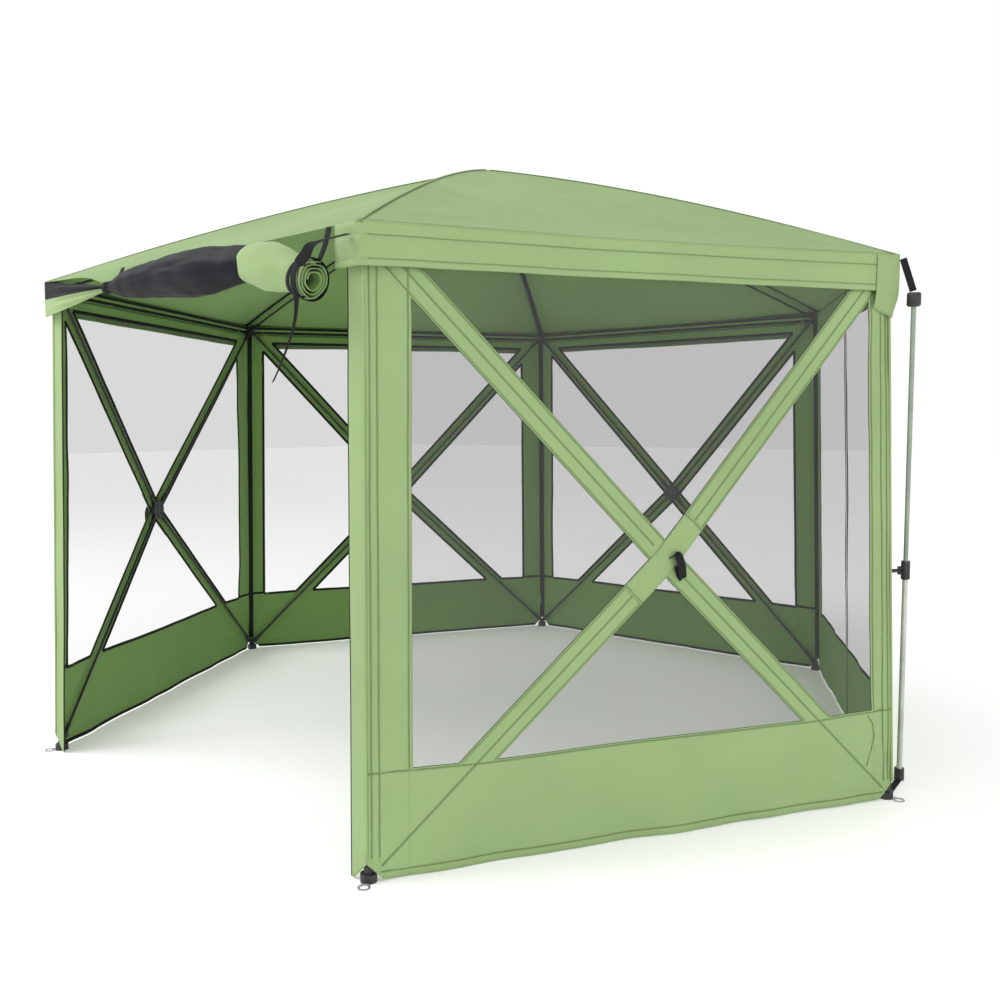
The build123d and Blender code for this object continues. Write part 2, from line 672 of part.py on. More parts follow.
os.makedirs("parts", exist_ok=True)
for node, solids in build().items():
    flat = [solid for piece in solids for solid in piece.solids()]
    export_step(Compound(children=flat) if len(flat) > 1 else flat[0], f"parts/{node}.step")
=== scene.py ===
from math import cos, exp, pi, radians, sin

import bmesh
import bpy
from mathutils import Euler, Matrix, Vector, noise


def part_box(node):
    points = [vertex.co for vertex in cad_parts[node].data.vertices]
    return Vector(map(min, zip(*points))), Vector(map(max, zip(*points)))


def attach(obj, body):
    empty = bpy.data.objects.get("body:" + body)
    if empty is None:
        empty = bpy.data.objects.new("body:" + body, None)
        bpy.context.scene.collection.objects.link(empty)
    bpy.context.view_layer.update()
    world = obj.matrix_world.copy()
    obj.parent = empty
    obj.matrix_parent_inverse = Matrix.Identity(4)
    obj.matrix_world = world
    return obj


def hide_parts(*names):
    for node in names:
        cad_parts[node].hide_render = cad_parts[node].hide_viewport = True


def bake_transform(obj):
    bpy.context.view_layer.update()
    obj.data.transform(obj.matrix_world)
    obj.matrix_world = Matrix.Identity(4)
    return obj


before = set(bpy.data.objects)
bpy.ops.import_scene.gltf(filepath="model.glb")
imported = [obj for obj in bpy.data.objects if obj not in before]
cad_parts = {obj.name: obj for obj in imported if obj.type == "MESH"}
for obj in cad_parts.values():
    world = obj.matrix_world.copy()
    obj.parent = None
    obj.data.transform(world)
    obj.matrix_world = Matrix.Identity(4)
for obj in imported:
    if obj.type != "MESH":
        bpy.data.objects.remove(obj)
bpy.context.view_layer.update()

# ---------------------------------------------------------------- studio
# A pale seamless floor under a plain white sky, one large soft light high on
# the left of the doorway and a weaker one on the right. The camera stands at
# head height in front of the doorway's right-hand corner.
CAMERA_AT = Vector((2.925, -3.372, 1.279))
CAMERA_YAW = -40.23
CAMERA_PITCH = -4.44
CAMERA_ROLL = 0.27
CAMERA_FOCAL = 35.93
FLOOR_HALF = 40.0

scene = bpy.context.scene


def stand_camera():
    lens = bpy.data.cameras.new("camera")
    lens.lens = CAMERA_FOCAL
    lens.sensor_width = 36.0
    lens.clip_end = 200.0
    camera = bpy.data.objects.new("camera", lens)
    camera.location = CAMERA_AT
    turn = Euler((radians(90 + CAMERA_PITCH), 0, radians(-CAMERA_YAW)), "XYZ").to_matrix()
    camera.rotation_euler = (turn @ Matrix.Rotation(radians(-CAMERA_ROLL), 3, "Z")).to_euler()
    scene.collection.objects.link(camera)
    scene.camera = camera


def soft_light(name, at, target, size, power):
    lamp = bpy.data.lights.new(name, "AREA")
    lamp.size = size
    lamp.energy = power
    holder = bpy.data.objects.new(name, lamp)
    holder.location = at
    holder.rotation_euler = (Vector(target) - Vector(at)).to_track_quat("-Z", "Y").to_euler()
    scene.collection.objects.link(holder)


def lay_floor():
    ground = bpy.data.meshes.new("floor")
    corners = [(x * FLOOR_HALF, y * FLOOR_HALF, 0) for x, y in ((-1, -1), (1, -1), (1, 1), (-1, 1))]
    ground.from_pydata(corners, [], [(0, 1, 2, 3)])
    floor = bpy.data.objects.new("floor", ground)
    scene.collection.objects.link(floor)
    paint = bpy.data.materials.new("pale_floor")
    paint.use_nodes = True
    shader = paint.node_tree.nodes["Principled BSDF"]
    shader.inputs["Base Color"].default_value = (0.94, 0.94, 0.94, 1)
    shader.inputs["Roughness"].default_value = 0.9
    shader.inputs["Emission Color"].default_value = (1, 1, 1, 1)
    shader.inputs["Emission Strength"].default_value = 0.17
    ground.materials.append(paint)


stand_camera()
lay_floor()
soft_light("key", (-4.5, -5.0, 7.0), (0, 0, 1.2), 5.0, 420)
soft_light("fill", (7.0, -3.0, 4.0), (0, 0, 1.2), 5.0, 60)
sky = bpy.data.worlds.new("white_sky")
sky.use_nodes = True
sky.node_tree.nodes["Background"].inputs["Color"].default_value = (1, 1, 1, 1)
sky.node_tree.nodes["Background"].inputs["Strength"].default_value = 1.0
scene.world = sky
scene.view_settings.view_transform = "Standard"

# ---------------------------------------------------------------- framed wall cloth
# Four of the six walls are pale green coated polyester sewn round four mesh
# windows: a skirt, two side strips, a top band and two crossed sleeves over
# the poles. The hub pushes each wall out into a low pyramid.
SIDE = 1.75
FOOT_RADIUS = 1.805
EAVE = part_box("canopy")[0].z
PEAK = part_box("canopy")[1].z
COS30 = cos(radians(30))
LEAN = (EAVE**2 + ((FOOT_RADIUS - SIDE) * COS30) ** 2) ** 0.5 / EAVE
WALL_TOP = (EAVE - 0.004) * LEAN
HEM = 0.005
HUB_UP = 0.870 * LEAN
BULGE = 0.080
SKIRT = 0.310
LEFT_STRIP = 0.130
RIGHT_STRIP = 0.085
TOP_BAND = 0.095
HALF_BAND = 0.039
BOOT_NOTCH = 0.050
CLOTH_THICK = 0.0012
WEAVE_STEP = 0.014
SEAM_HALF = 0.0022
SEAM_DEPTH = 0.0016
GREEN_OUT = (0.275, 0.392, 0.166)
# The inside face's green is raised lighter than its shade would show: painted light standing for the light
# that comes through the cloth.
GREEN_IN_PAINTED_LIGHT = (0.185, 0.320, 0.092)
# The canopy's green is darker than the walls', though it is the same cloth: painted shade on the top.
GREEN_TOP_PAINTED_SHADE = (0.205, 0.315, 0.114)
WALLS_IN_ORDER = ("front", "front_right", "back_right", "back", "back_left", "front_left")
BEARINGS = {wall: 60 * turn - 90 for turn, wall in enumerate(WALLS_IN_ORDER)}
FRAMED = ("front_right", "back", "back_left", "front_left")


def new_finish(name):
    """An empty node material and its shader."""
    finish = bpy.data.materials.new(name)
    finish.use_nodes = True
    return finish, finish.node_tree, finish.node_tree.nodes["Principled BSDF"]


def node(tree, kind, **settings):
    made = tree.nodes.new(kind)
    for key, value in settings.items():
        if key in made.inputs:
            made.inputs[key].default_value = value
        else:
            setattr(made, key, value)
    return made


def object_place(tree):
    return node(tree, "ShaderNodeTexCoord").outputs["Object"]


def blotches(tree, scale, detail=3.0):
    """Soft uneven patches, from 0 to 1."""
    spots = node(tree, "ShaderNodeTexNoise", Scale=scale, Detail=detail)
    tree.links.new(object_place(tree), spots.inputs["Vector"])
    return spots.outputs["Fac"]


def threads(tree, scale):
    """Crossed threads of a plain weave, from 0 to 1."""
    crossed = []
    for direction in ("X", "Y", "Z"):
        wave = node(tree, "ShaderNodeTexWave", Scale=scale, bands_direction=direction)
        tree.links.new(object_place(tree), wave.inputs["Vector"])
        crossed.append(wave.outputs["Fac"])
    first = node(tree, "ShaderNodeMath", operation="ADD")
    second = node(tree, "ShaderNodeMath", operation="ADD")
    tree.links.new(crossed[0], first.inputs[0])
    tree.links.new(crossed[1], first.inputs[1])
    tree.links.new(first.outputs[0], second.inputs[0])
    tree.links.new(crossed[2], second.inputs[1])
    return second.outputs[0]


def ramp(tree, source, low, high, start=0.3, end=0.7):
    made = node(tree, "ShaderNodeValToRGB")
    made.color_ramp.elements[0].position = start
    made.color_ramp.elements[1].position = end
    made.color_ramp.elements[0].color = (*low, 1)
    made.color_ramp.elements[1].color = (*high, 1)
    tree.links.new(source, made.inputs["Fac"])
    return made.outputs["Color"]


def relief(tree, shader, layers):
    """Adds bumps one on another: each layer is a source, a strength and a depth in metres."""
    below = None
    for source, strength, depth in layers:
        bump = node(tree, "ShaderNodeBump", Strength=strength, Distance=depth)
        tree.links.new(source, bump.inputs["Height"])
        if below:
            tree.links.new(below, bump.inputs["Normal"])
        below = bump.outputs["Normal"]
    tree.links.new(below, shader.inputs["Normal"])


def shade(colour, by):
    return tuple(channel * by for channel in colour)


def coated_cloth(name, colour, rough, sheen=0.06, shine=0.4):
    """Close-woven polyester: faint threads, soft handling creases and uneven dye."""
    finish, tree, shader = new_finish(name)
    tone = ramp(tree, blotches(tree, 1.7), shade(colour, 0.92), shade(colour, 1.06))
    tree.links.new(tone, shader.inputs["Base Color"])
    gloss = ramp(tree, blotches(tree, 6.0), (rough - 0.06,) * 3, (rough + 0.06,) * 3)
    tree.links.new(gloss, shader.inputs["Roughness"])
    shader.inputs["Sheen Weight"].default_value = sheen
    shader.inputs["Sheen Roughness"].default_value = 0.5
    shader.inputs["Specular IOR Level"].default_value = shine
    relief(tree, shader, [(blotches(tree, 9.0, 4.0), 0.45, 0.008), (threads(tree, 420.0), 0.10, 0.0004)])
    return finish


cloth_outside = coated_cloth("green_cloth_outside", GREEN_OUT, 0.72)
# The inside finish carries that painted light through the cloth.
cloth_inside_painted_light = coated_cloth("green_cloth_inside_painted_light", GREEN_IN_PAINTED_LIGHT, 0.8)
# The canopy finish carries that painted shade.
cloth_top_painted_shade = coated_cloth("green_cloth_top_painted_shade", GREEN_TOP_PAINTED_SHADE, 0.72)


def wall_axes(bearing):
    """Foot of a wall's middle line, then right, up and outward for that wall."""
    foot = Vector((cos(radians(bearing)), sin(radians(bearing)), 0)) * FOOT_RADIUS * COS30
    head = Vector((cos(radians(bearing)), sin(radians(bearing)), 0)) * SIDE * COS30 + Vector((0, 0, EAVE))
    right = Vector((-sin(radians(bearing)), cos(radians(bearing)), 0))
    up = (head - foot).normalized()
    return foot, right, up, right.cross(up)


def half_width(up):
    return (FOOT_RADIUS + (SIDE - FOOT_RADIUS) * up / LEAN / EAVE) / 2


def smooth(x):
    x = min(max(x, 0.0), 1.0)
    return x * x * (3 - 2 * x)


HUB = Vector((0, HUB_UP))
WALL_CORNERS = (
    Vector((-half_width(HEM), HEM)),
    Vector((half_width(HEM), HEM)),
    Vector((half_width(WALL_TOP), WALL_TOP)),
    Vector((-half_width(WALL_TOP), WALL_TOP)),
)
STRIPS = (SKIRT, RIGHT_STRIP, TOP_BAND, LEFT_STRIP)
SEAMS = ((0.024, 0.304), (0.014, 0.036, 0.076), (0.040,), (0.014, 0.036, 0.121))
BAND_STITCH = 0.034
SKIRT_TOP = HEM + SKIRT


def wall_edges():
    """Each edge of a framed wall: its start, its inward normal and its distance from the hub."""
    found = []
    for i in range(4):
        along = (WALL_CORNERS[(i + 1) % 4] - WALL_CORNERS[i]).normalized()
        inward = Vector((-along.y, along.x))
        found.append((WALL_CORNERS[i], inward, (HUB - WALL_CORNERS[i]).dot(inward)))
    return found


def wall_arms():
    """Each pole line of a framed wall: its corner, its direction, its left-hand side and its length."""
    found = []
    for corner in WALL_CORNERS:
        along = (HUB - corner).normalized()
        found.append((corner, along, Vector((-along.y, along.x)), (HUB - corner).length))
    return found


EDGES = wall_edges()
ARMS = wall_arms()


def from_arms(p):
    """Distance from the nearest pole line."""
    return min(abs((p - corner).dot(side)) if 0 <= (p - corner).dot(along) <= length + 0.03 else 9.0
               for corner, along, side, length in ARMS)


def in_window(p):
    """Whether a point of a framed wall is mesh: inside all four strips and clear of the crossed sleeves."""
    inside = all((p - start).dot(inward) > strip for (start, inward, _), strip in zip(EDGES, STRIPS))
    return inside and from_arms(p) > HALF_BAND


def valley(distance, at):
    return -SEAM_DEPTH * max(0.0, 1 - abs(distance - at) / SEAM_HALF)


def slack(p, seed):
    """Cloth's own unevenness: hem ripples, creases from the corners and gentle billows."""
    lift = 0.0060 * noise.noise(Vector((p.x * 2.3, p.y * 2.3, seed * 7.1)))
    lift += 0.0026 * noise.noise(Vector((p.x * 9.0, p.y * 7.0, seed * 3.7)))
    low = 1 - smooth(p.y / SKIRT)
    lift += low * 0.012 * noise.noise(Vector((p.x * 5.0, p.y * 1.2, seed * 1.9)))
    upright = 1 - smooth((half_width(p.y) - abs(p.x)) / 0.16)
    lift += upright * 0.0045 * noise.noise(Vector((p.x * 34.0, p.y * 2.2, seed * 5.3)))
    for index, corner in enumerate(WALL_CORNERS):
        away = p - corner
        far = away.length
        if 0.01 < far < 0.8:
            turn = away.angle(ARMS[index][1]) * (1 if away.cross(ARMS[index][1]) > 0 else -1)
            ripple = sin(turn * 15 + seed + index) + 0.5 * sin(turn * 27 + 2 * seed)
            lift += 0.0060 * ripple * smooth(far / 0.16) * exp(-far / 0.24)
    return lift


def wall_lift(p, seed, seams=True):
    """How far a framed wall stands out of its plane at a point."""
    reach = [(p - start).dot(inward) for start, inward, _ in EDGES]
    share = [r / edge[2] for r, edge in zip(reach, EDGES)]
    ranked = sorted(share)
    rise = min(max(ranked[0], 0.0), 1.0)
    hollow = smooth((ranked[1] - ranked[0]) / 0.55) * 4 * rise * (1 - rise)
    lift = BULGE * rise - 0.013 * hollow
    calm = smooth(from_arms(p) / 0.12)
    lift += slack(p, seed) * (0.25 + 0.75 * calm)
    if seams:
        lift += valley(from_arms(p), BAND_STITCH if p.y > SKIRT_TOP else 0)
        for distance, folds in zip(reach, SEAMS):
            for at in folds:
                lift += valley(distance, at)
    return lift


def cut(mesh, point, normal, clear=False):
    """Splits a flat blank along a line, and drops what lies past it if clear."""
    everything = mesh.verts[:] + mesh.edges[:] + mesh.faces[:]
    bmesh.ops.bisect_plane(mesh, geom=everything, dist=1e-5, plane_co=(*point, 0),
                           plane_no=(*normal, 0), clear_outer=clear)


def grid(columns, rows, place):
    """Quads over a grid whose points come from place(column share, row share)."""
    mesh = bmesh.new()
    points = [[mesh.verts.new((*place(i / columns, j / rows), 0)) for i in range(columns + 1)]
              for j in range(rows + 1)]
    for j in range(rows):
        for i in range(columns):
            mesh.faces.new((points[j][i], points[j][i + 1], points[j + 1][i + 1], points[j + 1][i]))
    return mesh


def wall_blank():
    """The flat cut of a whole wall, before its pieces are told apart."""
    rows = round((WALL_TOP - HEM) / WEAVE_STEP)
    columns = round(FOOT_RADIUS / WEAVE_STEP)

    def place(s, t):
        up = HEM + t * (WALL_TOP - HEM)
        return (2 * s - 1) * half_width(up), up

    return grid(columns, rows, place)


def notch_boots(mesh):
    """Cuts the two lower corners off, where the boots stand."""
    for side in (-1, 1):
        edge = Vector((side * half_width(HEM), HEM))
        cut(mesh, edge - Vector((side * BOOT_NOTCH, 0)), Vector((side, -1)).normalized(), clear=True)


def framed_blank():
    mesh = wall_blank()
    for (start, inward, _), strip, folds in zip(EDGES, STRIPS, SEAMS):
        cut(mesh, start + inward * strip, inward)
        for at in folds:
            for step in (-SEAM_HALF, 0, SEAM_HALF):
                cut(mesh, start + inward * (at + step), inward)
    for corner, along, side, _ in ARMS:
        for sign in (-1, 1):
            stitch = [BAND_STITCH + step for step in (-SEAM_HALF, 0, SEAM_HALF)]
            for at in (0, SEAM_HALF, *stitch, HALF_BAND):
                cut(mesh, corner + side * sign * at, side)
    notch_boots(mesh)
    return mesh


def keep_faces(mesh, wanted):
    """A copy of a flat blank with only the faces whose middle passes the test."""
    kept = mesh.copy()
    doomed = [f for f in kept.faces if not wanted(f.calc_center_median().xy)]
    bmesh.ops.delete(kept, geom=doomed, context="FACES")
    return kept


def hang(mesh, axes, lift):
    """Moves a flat blank into its wall's plane and out of it by lift."""
    foot, right, up, out = axes
    for v in mesh.verts:
        v.co = foot + right * v.co.x + up * v.co.y + out * lift(v.co.xy)


def settle(name, mesh, finishes, thick=0.0, smooth_faces=True):
    """Turns a bmesh into a shown piece, given thickness inward where the cloth has two faces."""
    data = bpy.data.meshes.new(name)
    mesh.normal_update()
    mesh.to_mesh(data)
    mesh.free()
    for finish in finishes:
        data.materials.append(finish)
    made = bpy.data.objects.new(name, data)
    scene.collection.objects.link(made)
    if thick:
        body = made.modifiers.new("thickness", "SOLIDIFY")
        body.thickness = thick
        body.offset = -1
        body.material_offset = 1
        ready = bpy.data.meshes.new_from_object(made.evaluated_get(bpy.context.evaluated_depsgraph_get()))
        made.modifiers.clear()
        made.data = ready
        ready.name = name
    for polygon in made.data.polygons:
        polygon.use_smooth = smooth_faces
    return made


def pop_with_hub(piece):
    """Bakes the piece's placement into its mesh."""
    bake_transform(piece)


flat_wall = framed_blank()
flat_cloth = keep_faces(flat_wall, lambda p: not in_window(p))
CLOTH_AREA = sum(f.calc_area() for f in flat_cloth.faces)
for seed, wall in enumerate(FRAMED):
    axes = wall_axes(BEARINGS[wall])
    sewn = flat_cloth.copy()
    hang(sewn, axes, lambda p: wall_lift(p, seed) + CLOTH_THICK)
    piece = settle(f"cloth_{wall}", sewn, (cloth_outside, cloth_inside_painted_light), CLOTH_THICK)
    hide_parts(f"wall_cloth_{wall}")
    pop_with_hub(piece)

# ---------------------------------------------------------------- framed wall mesh
# The windows of a framed wall are fine grey insect mesh, four triangles to a
# wall, sewn to the back of the cloth and drawn tight by the poles.
MESH_THREAD = (0.10, 0.10, 0.102)
MESH_COVER = 0.285


def insect_mesh(name):
    """Fine net: mostly open, its threads a soft grey."""
    finish, tree, shader = new_finish(name)
    tone = ramp(tree, blotches(tree, 2.2), shade(MESH_THREAD, 0.9), shade(MESH_THREAD, 1.15))
    tree.links.new(tone, shader.inputs["Base Color"])
    shader.inputs["Roughness"].default_value = 0.8
    shader.inputs["Specular IOR Level"].default_value = 0.15
    cover = ramp(tree, threads(tree, 260.0), (MESH_COVER - 0.05,) * 3, (MESH_COVER + 0.05,) * 3, 0.2, 1.0)
    tree.links.new(cover, shader.inputs["Alpha"])
    relief(tree, shader, [(threads(tree, 260.0), 0.2, 0.0005)])
    return finish


net = insect_mesh("grey_mesh")
flat_mesh = keep_faces(flat_wall, in_window)
MESH_AREA = sum(f.calc_area() for f in flat_mesh.faces)
for seed, wall in enumerate(FRAMED):
    axes = wall_axes(BEARINGS[wall])
    sewn = flat_mesh.copy()
    hang(sewn, axes, lambda p: wall_lift(p, seed, False) + CLOTH_THICK / 4)
    piece = settle(f"mesh_{wall}", sewn, (net,))
    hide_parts(f"wall_mesh_{wall}")
    pop_with_hub(piece)

# ---------------------------------------------------------------- binding inside the walls
# Black tape folded over every raw edge inside: round each window, along the
# skirt's hem and down the corners. It lies a thread's width inside the cloth.
BINDING_W = 0.013
BINDING_BACK = 0.0052
BINDING_IN = 0.0016
BINDING_STEP = 0.03
BLACK_TAPE = (0.010, 0.011, 0.012)


def woven_tape(name, colour):
    """Ribbed black webbing, a little worn along its ribs."""
    finish, tree, shader = new_finish(name)
    tone = ramp(tree, threads(tree, 95.0), shade(colour, 0.7), shade(colour, 1.6), 0.2, 0.9)
    tree.links.new(tone, shader.inputs["Base Color"])
    shader.inputs["Roughness"].default_value = 0.82
    shader.inputs["Specular IOR Level"].default_value = 0.15
    relief(tree, shader, [(threads(tree, 95.0), 0.5, 0.0006), (blotches(tree, 60.0), 0.2, 0.0005)])
    return finish


tape_finish = woven_tape("black_tape", BLACK_TAPE)


def crossing(p, d, q, e):
    wide = d.x * e.y - d.y * e.x
    return p + d * (((q.x - p.x) * e.y - (q.y - p.y) * e.x) / wide)


def above_skirt(outline):
    """The part of an outline above the skirt's top edge."""
    kept = []
    for one, two in zip(outline, outline[1:] + outline[:1]):
        level = SKIRT_TOP - BINDING_BACK
        if one.y > level - 1e-6:
            kept.append(one)
        if (one.y - level) * (two.y - level) < -1e-9:
            kept.append(one.lerp(two, (level - one.y) / (two.y - one.y)))
    return kept


def window_outlines():
    """The corners of each mesh window of a framed wall."""
    found = []
    for i, (start, inward, _) in enumerate(EDGES):
        edge = Vector((inward.y, -inward.x))
        line = start + inward * (STRIPS[i] - BINDING_BACK)
        first = ARMS[i]
        second = ARMS[(i + 1) % 4]
        first_at = first[0] - first[2] * (HALF_BAND - BINDING_BACK)
        second_at = second[0] + second[2] * (HALF_BAND - BINDING_BACK)
        a = crossing(first_at, first[1], line, edge)
        b = crossing(second_at, second[1], line, edge)
        found.append(above_skirt([a, b, crossing(first_at, first[1], second_at, second[1])]))
    return found


def tape_run(mesh, start, end, place, width, step=BINDING_STEP):
    """A flat tape along a straight line of the flat wall, laid on the hung wall by place."""
    along = (end - start).normalized()
    side = Vector((-along.y, along.x)) * (width / 2)
    count = max(2, round((end - start).length / step))
    rails = []
    for k in range(count + 1):
        p = start.lerp(end, k / count)
        rails.append([mesh.verts.new(place(p + side * s)) for s in (-1, 1)])
    for one, two in zip(rails, rails[1:]):
        mesh.faces.new((one[0], one[1], two[1], two[0]))


def on_wall(axes, lift):
    foot, right, up, out = axes
    return lambda p: foot + right * p.x + up * p.y + out * lift(p)


for seed, wall in enumerate(FRAMED):
    axes = wall_axes(BEARINGS[wall])
    tape = bmesh.new()
    inside = on_wall(axes, lambda p: wall_lift(p, seed, False) - BINDING_IN)
    for outline in window_outlines():
        for start, end in zip(outline, outline[1:] + outline[:1]):
            tape_run(tape, start, end, inside, BINDING_W)
    low = HEM + BINDING_W / 2
    clear_of_boot = half_width(low) - BOOT_NOTCH
    tape_run(tape, Vector((-clear_of_boot, low)), Vector((clear_of_boot, low)), inside, BINDING_W)
    for side, strip in ((-1, LEFT_STRIP), (1, RIGHT_STRIP)):
        seam = Vector((side * half_width(SKIRT_TOP), SKIRT_TOP))
        tape_run(tape, seam, seam - Vector((side * strip, 0)), inside, BINDING_W)
    for drop in (0.010, 0.034):
        up = WALL_TOP - drop
        tape_run(tape, Vector((-half_width(up), up)), Vector((half_width(up), up)), inside, BINDING_W)
    piece = settle(f"binding_{wall}", tape, (tape_finish,), 0.0009)
    pop_with_hub(piece)

# ---------------------------------------------------------------- stitching and crossing patches
# Dark green thread holds the sleeves, the strips and the hem. Its lines are drawn
# as dark strips a few millimetres wide, so they paint the shade in the seams as
# well as the thread. Where the two sleeves cross, one lies over the other with
# its ends stitched down.
THREAD_W = 0.0030
POLE_SEAM_W = 0.0045
THREAD_OUT = 0.0006
PATCH_HALF = 0.150
# Colour of the thread strips: the thread's own dark green, and painted shade along the seams.
THREAD_AND_SEAM_SHADE_GREEN = (0.115, 0.180, 0.068)

thread_and_seam_shade_finish = woven_tape("dark_green_thread_and_seam_shade", THREAD_AND_SEAM_SHADE_GREEN)


def stitched_and_seam_shade_lines():
    """Every line of thread on the outside of a framed wall, still flat: start, end and width; the lines are
    drawn as dark strips that paint the seams' shade as well as the thread.
    """
    lines = []
    for corner, along, side, length in ARMS:
        low = corner.y < HUB_UP
        to_skirt = (SKIRT_TOP - corner.y) / along.y if low else 0.12
        lines.append((corner + along * 0.06, corner + along * (length - 0.06), POLE_SEAM_W))
        for sign in (-1, 1):
            edge = side * sign * BAND_STITCH
            from_corner = to_skirt - (edge.y / along.y if low else 0)
            start = corner + along * from_corner + edge
            end = corner + along * (length - 0.03) + edge
            lines.append((start, end, THREAD_W * 0.7))
    for side, strip in ((-1, LEFT_STRIP), (1, RIGHT_STRIP)):
        for inset, bottom in ((0.014, 0.07), (0.036, 0.07), (strip - 0.009, SKIRT_TOP)):
            start = Vector((side * (half_width(bottom) - inset), bottom))
            end = Vector((side * (half_width(WALL_TOP) - inset), WALL_TOP))
            lines.append((start, end, THREAD_W))
    for up, short in ((HEM + 0.024, 0.04), (SKIRT_TOP - 0.006, 0)):
        half = half_width(up) - short
        lines.append((Vector((-half, up)), Vector((half, up)), THREAD_W))
    gusset_curve = ((0.795, 0.300), (0.815, 0.270), (0.822, 0.225), (0.812, 0.180), (0.790, 0.130))
    gusset = [Vector(p) for p in gusset_curve]
    lines.extend((start, end, THREAD_W) for start, end in zip(gusset, gusset[1:]))
    return lines


def crossing_patch(place):
    """The upper sleeve where the two cross, from lower left to upper right."""
    lower = ARMS[0]
    upper = ARMS[2]
    mesh = bmesh.new()
    rows = 24
    columns = 8
    grid_points = []
    for j in range(rows + 1):
        t = (j / rows * 2 - 1) * PATCH_HALF
        arm = lower if t < 0 else upper
        side = lower[2] if t < 0 else -upper[2]
        middle = HUB - arm[1] * abs(t)
        bend = (lower[2] - upper[2]).normalized()
        side = side.lerp(bend, max(0.0, 1 - abs(t) / 0.03)).normalized()
        across = [side * (i / columns * 2 - 1) * HALF_BAND for i in range(columns + 1)]
        grid_points.append([mesh.verts.new(place(middle + step)) for step in across])
    for one, two in zip(grid_points, grid_points[1:]):
        for i in range(columns):
            mesh.faces.new((one[i], two[i], two[i + 1], one[i + 1]))
    bmesh.ops.recalc_face_normals(mesh, faces=mesh.faces)
    return mesh


for seed, wall in enumerate(FRAMED):
    axes = wall_axes(BEARINGS[wall])
    outside = on_wall(axes, lambda p: wall_lift(p, seed, False) + CLOTH_THICK + THREAD_OUT)
    thread = bmesh.new()
    for start, end, width in stitched_and_seam_shade_lines():
        tape_run(thread, start, end, outside, width)
    piece = settle(f"stitching_{wall}", thread, (thread_and_seam_shade_finish,), 0.0006)
    pop_with_hub(piece)
    over = on_wall(axes, lambda p: wall_lift(p, seed, False) + CLOTH_THICK + 0.0026)
    patch = crossing_patch(over)
    if patch.faces[:][0].normal.dot(axes[3]) < 0:
        bmesh.ops.reverse_faces(patch, faces=patch.faces)
    piece = settle(f"crossing_patch_{wall}", patch, (cloth_outside, cloth_inside_painted_light), CLOTH_THICK)
    pop_with_hub(piece)
    # The patch's stitched ends are dark strips: thread, and painted shade at the patch's edge.
    edging = bmesh.new()
    rim = on_wall(axes, lambda p: wall_lift(p, seed, False) + CLOTH_THICK + 0.0034)
    for arm in (ARMS[0], ARMS[2]):
        end = HUB - arm[1] * (PATCH_HALF - 0.006)
        tape_run(edging, end - arm[2] * HALF_BAND, end + arm[2] * HALF_BAND, rim, THREAD_W)
    piece = settle(f"patch_stitching_{wall}", edging, (thread_and_seam_shade_finish,), 0.0006)
    pop_with_hub(piece)

# ---------------------------------------------------------------- zipped door wall
# The wall right of the prop has no poles. It is a door that is zipped shut
# down its middle: a skirt, side strips and a top band round two mesh halves.
ZIP_HALF = 0.012
DOOR_SEED = 5.3


def door_lift(p, seams=True):
    """A flat wall hangs looser than a framed one: long upright folds and a rippled skirt."""
    free = smooth((half_width(p.y) - abs(p.x)) / 0.25) * smooth((WALL_TOP - p.y) / 0.5)
    lift = 0.010 * free * noise.noise(Vector((p.x * 4.5, p.y * 1.1, DOOR_SEED)))
    lift += 0.004 * free * noise.noise(Vector((p.x * 12.0, p.y * 2.4, DOOR_SEED * 2)))
    lift += 0.0015 * noise.noise(Vector((p.x * 9.0, p.y * 9.0, DOOR_SEED * 3)))
    if seams:
        for at in (HEM + 0.024, HEM + SKIRT - 0.02):
            lift += valley(p.y, at)
    return lift


def door_window(p):
    return HEM + SKIRT < p.y < WALL_TOP - TOP_BAND and ZIP_HALF < abs(p.x) < half_width(p.y) - LEFT_STRIP


door_axes = wall_axes(BEARINGS["back_right"])
flat_door = wall_blank()
for x in (-ZIP_HALF, ZIP_HALF):
    cut(flat_door, Vector((x, 0)), Vector((1, 0)))
DOOR_FOLDS = [HEM + at + step for at in (0.024, SKIRT - 0.02) for step in (-SEAM_HALF, 0, SEAM_HALF)]
for y in (HEM + SKIRT, WALL_TOP - TOP_BAND, *DOOR_FOLDS):
    cut(flat_door, Vector((0, y)), Vector((0, 1)))
for sign in (-1, 1):
    edge_low = Vector((sign * half_width(0), 0))
    edge_high = Vector((sign * half_width(WALL_TOP), WALL_TOP))
    edge = (edge_high - edge_low).normalized()
    across = Vector((edge.y, -edge.x))
    cut(flat_door, edge_low - Vector((sign * LEFT_STRIP, 0)), across)
notch_boots(flat_door)
door_cloth = keep_faces(flat_door, lambda p: abs(p.x) > ZIP_HALF and not door_window(p))
door_net = keep_faces(flat_door, door_window)
DOOR_CLOTH_AREA = sum(f.calc_area() for f in door_cloth.faces)
DOOR_NET_AREA = sum(f.calc_area() for f in door_net.faces)
hang(door_cloth, door_axes, lambda p: door_lift(p) + CLOTH_THICK)
hang(door_net, door_axes, lambda p: door_lift(p, False) + CLOTH_THICK / 4)
door_cloth_piece = settle("door_cloth_sewn", door_cloth, (cloth_outside, cloth_inside_painted_light), CLOTH_THICK)
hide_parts("door_cloth")
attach(door_cloth_piece, "root")
door_net_piece = settle("door_net_sewn", door_net, (net,))
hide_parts("door_mesh")
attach(door_net_piece, "root")

